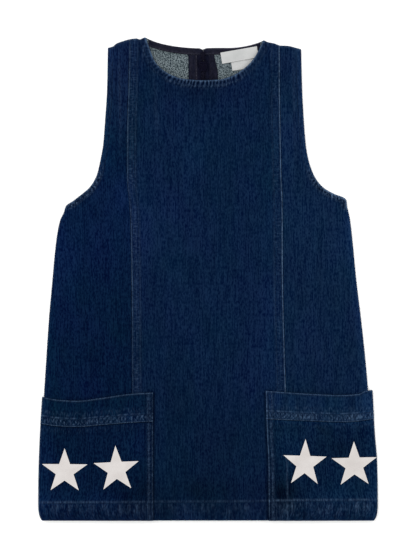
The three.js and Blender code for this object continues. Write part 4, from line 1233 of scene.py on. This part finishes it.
# The curves that a pocket's body, band and stars share, from its table
def pocketShape(table):
    outerX, innerX = (through(table["edgeUp"], table[key]) for key in ("outer", "inner"))
    mouth, foot = (through(table["across"], table[key]) for key in ("mouth", "foot"))
    out, build = table["out"], pocketBuild

    def acrossAt(x, up):
        return np.clip((outerX(up) - out * x) / (outerX(up) - innerX(up)), 0, 1)

    # Height of the ground that the pocket lies on: the front, raised over its seam and its hem,
    # and the gape that opens toward the mouth
    def under(x, up):
        across = acrossAt(x, up)
        overSeam = felledSeam["raise"] * smooth((across - 0.35) / 0.25)
        overHem = dress["hemStep"] * smooth((dress["hem"] - up) / build["hemReach"] + 1)
        opened = smooth(1 - (mouth(across) - up) / build["gapeReach"])
        gape = build["gape"] * opened * np.maximum(np.sin(np.pi * across), 0) ** 1.4
        inside = np.clip(x, bodyLeft(up), bodyRight(up))
        return frontFace(inside, up) + dress["layGap"] + overSeam + overHem + gape

    return {**table, "outerX": outerX, "innerX": innerX, "mouthUp": mouth, "footUp": foot,
            "acrossAt": acrossAt, "under": under}


# The crossed puckers are two sets of ridges, each with its slant, pitch and seed
pocketLook = {
    "stripPitch": 5.2, "stripRipple": 0.05, "cross": ((0.9, 3.1, 3), (-0.8, 4.3, 5)),
    "crossRelief": 0.22, "mouthPale": 0.3, "ridgeFoot": 0.48, "ridgeTop": 0.28,
    "crossPale": 0.25, "crossDeep": 0.8, "mouthStitch": 1.5, "ridgeStitches": (1.0, 7.9),
    "zonePitch": 2.6, "ladder": 0.07,
}


def pocketCloth(onBand):
    return pocketBuild["bandCloth"] if onBand else dress["cloth"]


# The band's own sewing: a ridge along its foot with crossed puckers, and its folded mouth
def bandWork(shape, x, up, aboveFoot, belowMouth):
    look, seed, ridge = pocketLook, shape["seed"], pocketBuild["ridge"]
    crossed = 0.6 * sum(roping(x + slant * aboveFoot, pitch, seed + more)
                        for slant, pitch, more in look["cross"])
    inRidge = between(aboveFoot, 1.0, ridge - 0.6, 1.6)
    upper = between(aboveFoot, ridge + 0.5, ridge + 18, 5.0)
    dashes = np.clip(0.6 + 0.8 * waver(x, 2.4, seed + 8), 0, 1)
    lively = inRidge * (0.7 + 0.6 * waver(x, 12, seed + 9))
    height = pocketBuild["ridgeRaise"] * smooth((ridge - aboveFoot) / dress["step"])
    height = height + look["crossRelief"] * crossed * inRidge
    height = height + 0.1 * roping(x + 0.2 * aboveFoot, 7.0, seed + 7) * upper
    # Pale ridge top, ridge foot, pucker crowns and mouth fold, partly wear and partly painted
    # highlight; painted shade between the puckers, under the mouth's stitching, just above the ridge
    # and in patches on the band above it
    worn = look["ridgeTop"] * lineMark(aboveFoot, ridge, 0.7) * dashes
    worn = worn + look["ridgeFoot"] * lineMark(aboveFoot, 0.35, 0.65) * (0.5 + 0.5 * dashes)
    worn = worn + look["crossPale"] * np.clip(crossed - 0.1, 0, 1) * lively
    worn = worn + look["mouthPale"] * lineMark(belowMouth, 0.2, 0.8) + shape["ridgePale"] * lively
    deep = look["crossDeep"] * np.clip(-crossed, 0, 1) * inRidge
    deep = deep + 0.2 * lineMark(belowMouth, 2.4, 1.0) + 0.3 * lineMark(aboveFoot, ridge + 1.6, 0.8)
    deep = deep + 0.3 * np.clip(cloudy(x / 6, up / 11, 1, seed + 12), 0, 1) * upper
    gathers = 0.24 * inRidge + 0.1 * between(aboveFoot, ridge, ridge + 8, 3.0)
    return height, marked(worn, deep, 0.0, gathers,
                          fade=0.14 * cloudy(x / 4, up / 16, 1, seed + 14))


# The body's own sewing: puckers below the band, the hem, and ribs where strip, seam and hem lie
# together. The front's seam shows through a little
def bodyWork(shape, x, up, inward, below):
    seed = shape["seed"]
    pucker = roping(x - 0.25 * below, 3.7, seed + 11) * between(below, 0.4, 12, 3.0)
    hemHeight, hemMarks = hemWork(x, up, 0.9 + 0.5 * cloudy(x, up, 20, seed + 13), 70)
    zone = between(inward, -1, 17, 3.0) * smooth((24 - up) / 5)
    ribs = roping(inward, pocketLook["zonePitch"], seed + 17)
    shown = shape["telegraph"] * lineMark(x, rightSeam(up) + 0.6, 0.7) * smooth((76 - up) / 12)
    height = 0.1 * pucker + 0.1 * ribs * zone + 1.2 * shown
    height = height + 0.25 * cloudy(x, up, 24, seed + 19) * between(up, 30, 90, 16)
    height = height + hemHeight + dress["hemStep"] * 0.5 * onHem(up)
    # Pale rib crowns and the seam showing through, partly wear and partly painted highlight; painted
    # shadow just under the band's foot and in the puckers' troughs, and painted shade over the corner
    # where strip and hem lie together, deepest in the ribs' troughs
    worn = 0.2 * np.clip(ribs, 0, 1) * zone + shown
    deep = shape["footShade"] * lineMark(below, 1.2, 1.2) + 0.15 * np.clip(-pucker, 0, 1)
    deep = deep + (0.3 + 0.35 * np.clip(-ribs, 0, 1)) * zone
    faded = shape["footFade"] * lineMark(below, 0, 4.5) + 0.1 * cloudy(x / 6, up / 20, 1, seed + 14)
    marks = marked(worn, deep, 0.0, 0.05 * between(below, 0.5, 9, 3.0), fade=faded)
    return height, marks + shape["hemShare"] * hemMarks


# The sewing on a pocket's face: the strip along its inner edge, and the band's or body's own.
# Gives height, marks, and the distances below the mouth and above the band's foot
def pocketWork(shape, x, up, inward, onBand):
    look, seed, strip = pocketLook, shape["seed"], pocketBuild["strip"]
    across = shape["acrossAt"](x, up)
    aboveFoot = up - shape["footUp"](across)
    belowMouth = shape["mouthUp"](across) - up
    ripple = roping(up + 0.3 * inward, look["stripPitch"], seed)
    height = pocketBuild["stripRaise"] * smooth((strip + dress["step"] - inward) / dress["step"])
    height = height + look["stripRipple"] * ripple * between(inward, 0.6, strip, 1.4)
    # Pale lines along the strip, partly wear and partly painted highlight, and dark lines beside its
    # stitching, which are painted shade
    worn = sum(share * lineMark(inward, at, 0.5) for at, share in
               (shape["bandPale"] if onBand else shape["pale"]))
    worn = worn * (0.85 + 0.25 * waver(up, 5.0, seed + 1))
    deep = sum(share * lineMark(inward, at, 0.6) for at, share in shape["dark"])
    marks = marked(worn, deep, look["ladder"] * between(inward, 0.5, strip, 1.4),
                   fade=0.25 * lineMark(shape["outerX"](up) - shape["out"] * x, 0, 8))
    ownHeight, ownMarks = (bandWork(shape, x, up, aboveFoot, belowMouth) if onBand else
                           bodyWork(shape, x, up, inward, -aboveFoot))
    return height + ownHeight, marks + ownMarks + dyeMarks(x, up), belowMouth, aboveFoot


# Distances in from a pocket's inner edge at which it has columns, and steps along its outer
# edge: 0 to 1 up the side, 1 to 2 round the corner
stripIn = np.array([10.8, 9.9, 9.2, 8.6, 8.1, 7.7, 7.3, 6.8, 6.2, 5.5, 4.8, 4.0, 3.2, 2.4, 1.7,
                    1.1, 0.7, 0.4, 0.2, 0.0])
lipSteps = np.r_[0, 0.5, np.linspace(1, 2, 9)]
# Rows of a pocket's body, which close up to the band's foot, and shares of a band's height
bodyRows = {"levels": np.r_[hemLevels, np.linspace(26.5, 88, 42)],
            "shares": 1 - np.linspace(1, 0, 15)[1:] ** 1.5}
bandShares = np.r_[0, 0.006, 0.016, 0.03, np.linspace(0.05, 0.36, 16),
                   np.linspace(0.385, 0.96, 20), 0.975, 0.988, 0.996, 1]


# A pocket wall: its outer edge turns down round the side of the body, as a foot, a side and a
# quarter round, and runs on as the face to the strip along its inner edge
def pocketWall(name, shape, onBand, finish):
    out, seed, lips, flatEnd = shape["out"], shape["seed"], len(lipSteps), -len(stripIn)
    width = float(shape["outerX"](np.array(100.0)) - shape["innerX"](np.array(100.0)))
    shares = np.linspace(pocketBuild["turn"] / width, 1 - stripIn[0] / width, 104)[1:-1]
    places = np.r_[np.zeros(lips), shares, 1 - stripIn / width]
    foot, mouth = shape["footUp"](places), shape["mouthUp"](places)
    up = (mix(foot[:, None], mouth[:, None], bandShares) if onBand else
          rowsTo(foot - dress["seamGap"], bodyRows))
    edge = shape["outerX"](up)
    wide = edge - shape["innerX"](up)
    inward = np.concatenate([
        wide[:lips] - pocketBuild["turn"],
        (1 - shares[:, None]) * wide[lips:flatEnd],
        stripIn[:, None] + 0 * wide[flatEnd:],
    ])
    x = out * (edge - wide + inward)
    base = shape["under"](x, up)
    height, marks, belowMouth, aboveFoot = pocketWork(shape, x, up, inward, onBand)
    away = (least(belowMouth, aboveFoot, inward) if onBand else
            least(-aboveFoot - dress["seamGap"], up, inward))
    roll = rolled(away, dress["roll"])
    angle = np.clip(lipSteps - 1, 0, 1)[:, None] * np.pi / 2
    side = np.clip(lipSteps, 0, 1)[:, None]

    # A face of the wall with its outer edge turned down, an inset in, round a radius
    def turnedDown(level, inset, radius):
        lipX, lipZ = x.copy(), level.copy()
        lipX[:lips] = out * (edge[:lips] - inset - radius * (1 - np.cos(angle)))
        lipZ[:lips] = mix(pocketBuild["lipFoot"], level[:lips] - radius, side)
        lipZ[:lips] += radius * np.sin(angle)
        return planPoints(lipX, up, lipZ)

    outer = turnedDown(base + pocketCloth(onBand) + height - roll, 0, pocketBuild["turn"])
    inner = turnedDown(base + 0.8 * roll, pocketBuild["innerInset"], pocketBuild["innerTurn"])
    # Pale along the rounded outer edge, partly wear and partly painted highlight
    marks[0, :lips] += 0.15 * np.sin(angle * 2)
    steps = np.linalg.norm(np.diff(outer, axis=0), axis=-1)
    run = np.concatenate([0 * up[:1], np.cumsum(steps, axis=0)])
    uv = drawn(seed * 7 + 0.01 * up - out * run, up + seed)
    if out > 0:
        outer, inner, uv, marks = outer[::-1], inner[::-1], uv[::-1], marks[:, ::-1]
    made = clothWall(name, outer, inner, [finishes[finish], finishes["denimInside"]], uv,
                     markSides(marks))
    return made, outer


starShape = {"radius": 25.9, "waist": 0.39, "base": 0.12, "thick": 0.95, "dome": 0.3,
             "corners": 10, "sides": 14, "rimWide": 0.36, "crownReach": 6, "seed": 171}
starRings = np.r_[0.12, np.linspace(0.25, 0.88, 8), 0.92, 0.95, 0.97, 0.985, 0.994, 1]


# A star patch: rings that shrink from its ten-cornered outline to its middle, with a low crown,
# pressed in a little along the rim and lying on the pocket's face
def starPatch(name, place, shape):
    build, corner = starShape, np.arange(starShape["corners"] + 1)
    reach = build["radius"] * np.where(corner % 2 == 0, 1, build["waist"])
    angle = np.pi / 2 + np.radians(place["turn"]) + corner * 2 * np.pi / build["corners"]
    tips = drawn(place["wide"] * reach * np.cos(angle), place["tall"] * reach * np.sin(angle))
    steps = np.linspace(0, 1, build["sides"], endpoint=False)
    outline = mix(tips[:-1, None], tips[1:, None], steps[None, :, None]).reshape(-1, 2)
    fromRim = (1 - starRings[:, None]) * build["radius"] * build["rimWide"]
    x = place["x"] + starRings[:, None] * outline[None, :, 0]
    up = place["up"] + starRings[:, None] * outline[None, :, 1]
    middle = np.array([[place["x"], place["up"]]])
    ground, middleGround = (shape["under"](*at) + dress["cloth"] + build["base"]
                            for at in ((x, up), middle.T))
    crown = build["dome"] * smooth(fromRim / build["crownReach"]) - 0.1 * lineMark(fromRim, 0.9, 0.3)
    crown = crown + 0.05 * cloudy(x, up, 7, build["seed"])
    top = ground + build["thick"] + crown - rolled(fromRim, 0.35)
    points = np.concatenate([
        planPoints(x, up, top).reshape(-1, 3),
        np.c_[middle, middleGround + build["thick"] + build["dome"]],
        planPoints(x, up, ground).reshape(-1, 3), np.c_[middle, middleGround]])
    rings, around = x.shape
    index = np.arange(x.size).reshape(rings, around)
    low, after = x.size + 1, np.roll(index, -1, axis=1)
    face = ringWalls(index)
    hub = np.stack([np.full(around, x.size), index[0], after[0]], -1)
    rim = quads(index[-1], index[-1] + low, after[-1] + low, after[-1])
    sets = [(face, 0), (hub, 0), (face[:, ::-1] + low, 0), (hub[:, ::-1] + low, 0), (rim, 0)]
    worn = np.zeros(2 * low)
    worn[:x.size] = np.repeat(0.7 * lineMark(fromRim, 0.25, 0.35), around)
    return meshObject(name, points, sets, [finishes["starLeather"]], marks={"worn": worn})


pocketPieces = {}
for side, table in pockets.items():
    shape = pocketShape(table)
    body, bodyGrid = pocketWall("pocket" + side, shape, False, "pocketDenim" + side)
    band, bandGrid = pocketWall("pocketBand" + side, shape, True, "bandDenim" + side)
    stars = {name: starPatch(name, place, shape) for name, place in table["stars"].items()}
    pocketPieces[side] = {"body": body, "band": band, "stars": stars, "shape": shape,
                          "bodyGrid": bodyGrid, "bandGrid": bandGrid}
print("pockets made")

# Stitches

topThread = {"pitch": 3.1, "length": 2.5, "wide": 0.26, "high": 0.2, "lift": 0.2, "sink": 0.06}
frontRowsSewn = []


# The front's finished height at places on it, with the felled bands' raise
def frontLevel(x, up):
    height = frontWork(x, up)[0]
    for seam, sign, side in ((leftSeam, 1, "left"), (rightSeam, -1, "right")):
        offset = (x - seam(up)) * sign
        height = height + seamWork(offset, up, seamLooks[side])[0] * (offset > 0)
    return frontFace(x, up) + height + dress["hemStep"] * onHem(up)


# A line moved sideways by a distance, along its own normals
def offsetLine(line, distance):
    along = np.gradient(line, axis=0)
    along = along / np.linalg.norm(along, axis=1, keepdims=True)
    return line + distance * np.stack([along[:, 1], -along[:, 0]], -1)


def frontRow(x, up):
    return planPoints(x, up, frontLevel(x, up))


neckRow = offsetLine(lines["neck"], neckEdge["stitch"])
neckRow = neckRow[(neckRow[:, 1] < shoulderUp(neckRow[:, 0]) - 2)]
leftArm = offsetLine(lines["left"], armEdge["stitch"])
rightArm = offsetLine(lines["right"], -armEdge["stitch"])
armRange = {"low": 336.0, "high": 506.0}
frontRowsSewn.append(frontRow(neckRow[:, 0], neckRow[:, 1]))
for arm in (leftArm, rightArm):
    kept = arm[(arm[:, 1] > armRange["low"]) & (arm[:, 1] < armRange["high"])]
    frontRowsSewn.append(frontRow(kept[:, 0], kept[:, 1]))
hemXs = np.linspace(-58, 61, 300)
frontRowsSewn.append(frontRow(hemXs, hemLine(hemXs) - hemEdge["below"]))
seamUps = np.linspace(142, 514, 900)
for seam, sign in ((leftSeam, 1), (rightSeam, -1)):
    for at in felledSeam["stitches"]:
        rowX = seam(seamUps) + sign * at
        shown = seamUps < frontTop(rowX) - 1.5
        frontRowsSewn.append(frontRow(rowX[shown], seamUps[shown]))
frontThreads = stitches("frontStitches", frontRowsSewn, "navyThread", topThread)


def pocketRow(shape, fromInner, up, onBand):
    x = shape["out"] * (shape["innerX"](up) + fromInner)
    level = shape["under"](x, up) + pocketCloth(onBand)
    return planPoints(x, up, level + pocketWork(shape, x, up, fromInner + 0 * up, onBand)[0])


def acrossRow(shape, upAt, onBand):
    across = np.linspace(0.022, 0.995, 260)
    up = upAt(across)
    wide = shape["outerX"](up) - shape["innerX"](up)
    return pocketRow(shape, (1 - across) * wide, up, onBand)


for side, made in pocketPieces.items():
    shape = made["shape"]
    foot, mouth = shape["footUp"], shape["mouthUp"]
    bandSewn = [acrossRow(shape, lambda a: mouth(a) - pocketLook["mouthStitch"], True)]
    bandSewn += [acrossRow(shape, lambda a, at=at: foot(a) + at, True)
                 for at in pocketLook["ridgeStitches"]]
    hemXs = np.linspace(shape["innerX"](np.array(20.0)) + 0.5, shape["outerX"](np.array(20.0)) - 3, 260)
    hemUps = hemLine(shape["out"] * hemXs) - hemEdge["below"]
    bodySewn = [pocketRow(shape, hemXs - shape["innerX"](hemUps), hemUps, False)]
    footEnd, mouthEnd = float(foot(np.array(1.0))), float(mouth(np.array(1.0)))
    for at in shape["sewn"]:
        bodySewn.append(pocketRow(shape, at, np.linspace(1, footEnd - 1.5, 260), False))
        bandSewn.append(pocketRow(shape, at, np.linspace(footEnd + 1, mouthEnd - 1.5, 80), True))
    made["bodyThreads"] = stitches("pocketStitches" + side, bodySewn, "navyThread", topThread)
    made["bandThreads"] = stitches("pocketBandStitches" + side, bandSewn, "navyThread", topThread)

tapeUps = np.linspace(zipShape["foot"] + 2, tapeTop - 1, 300)
tapeRows = [
    planPoints(centreBackX(tapeUps) + out * (zipShape["halfGap"] + zipShape["stitch"]), tapeUps,
               np.full(300, onBack + dress["fine"] - 0.12))
    for out in (-1, 1)]
bindingXs = np.linspace(neck["leftX"] + 6, neck["rightX"] - 6, 500)
bindingRow = planPoints(bindingXs, backNeckUp(bindingXs) - bindingShape["stitch"],
                        np.full(500, onBack + dress["fine"] - 0.1))
neckThreads = stitches("neckStitches", [*tapeRows, bindingRow], "tapeThread",
                       {**topThread, "wide": 0.22, "high": 0.16})
print("stitches made")

# Each piece, the node of model.glb that it stands for, and its slot, named for its cloth: the node is
# hidden


def dressPiece(node):
    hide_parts(node)


for piece, node, slot in (
        (frontMiddle, "front_centre", "denim"), (frontLeft, "front_side_left", "denim"),
        (frontRight, "front_side_right", "denim"), (backLeft, "back_left", "denim"),
        (backRight, "back_right", "denim"), (bindingLeft, "neck_binding_left", "navy_tape"),
        (bindingRight, "neck_binding_right", "navy_tape"),
        (tapeLeft, "zip_tape_left", "navy_tape"), (tapeRight, "zip_tape_right", "navy_tape"),
        (slider, "zip_slider", "dark_metal"), (labelMain, "label_main", "label_white"),
        (labelSize, "label_size", "label_white")):
    dressPiece(node)
for side, made in pocketPieces.items():
    low = side.lower()
    dressPiece("pocket_" + low)
    dressPiece("pocket_band_" + low)
    for name, star in made["stars"].items():
        dressPiece("star_" + low + ("_outer" if "Outer" in name else "_inner"))

# Floor, light and camera

studio = {
    "floor": (0.93, 0.93, 0.925, 1), "floorSize": 6.0, "ambient": 1.22, "softbox": 37.7,
    "softboxSize": 2.2, "softboxAt": (-1.1, 1.2, 2.4), "fill": 7.25, "fillAt": (1.6, -0.9, 2.0),
}


def makeFloor():
    mesh = bpy.data.meshes.new("floor")
    half = studio["floorSize"] / 2
    level = -0.0003
    mesh.from_pydata([(-half, -half, level), (half, -half, level), (half, half, level),
                      (-half, half, level)], [], [(0, 1, 2, 3)])
    made = bpy.data.objects.new("floor", mesh)
    bpy.context.scene.collection.objects.link(made)
    paper, tree, shader = newMaterial("floorPaper")
    shader.inputs["Base Color"].default_value = studio["floor"]
    shader.inputs["Roughness"].default_value = 0.9
    shader.inputs["Specular IOR Level"].default_value = 0.1
    mesh.materials.append(paper)


def areaLight(name, place, power, size):
    data = bpy.data.lights.new(name, "AREA")
    data.energy, data.size = power, size
    light = bpy.data.objects.new(name, data)
    bpy.context.scene.collection.objects.link(light)
    light.location = place
    toDress = -Vector(place)
    light.rotation_euler = toDress.to_track_quat("-Z", "Y").to_euler()


makeFloor()
areaLight("softbox", studio["softboxAt"], studio["softbox"], studio["softboxSize"])
areaLight("fill", studio["fillAt"], studio["fill"], 1.6)
world = bpy.data.worlds.new("studioWorld")
bpy.context.scene.world = world
world.use_nodes = True
world.node_tree.nodes["Background"].inputs["Color"].default_value = (1, 1, 1, 1)
world.node_tree.nodes["Background"].inputs["Strength"].default_value = studio["ambient"]
bpy.context.scene.view_settings.view_transform = "Standard"

view = {"height": 0.59153, "distance": 2.2, "x": -0.00699, "y": 0.00403, "level": 0.005}
cameraData = bpy.data.cameras.new("camera")
camera = bpy.data.objects.new("camera", cameraData)
bpy.context.scene.collection.objects.link(camera)
cameraData.sensor_fit = "VERTICAL"
cameraData.sensor_height = 24.0
cameraData.lens = 24.0 * view["distance"] / view["height"]
camera.location = (view["x"], view["y"], view["level"] + view["distance"])
bpy.context.scene.camera = camera
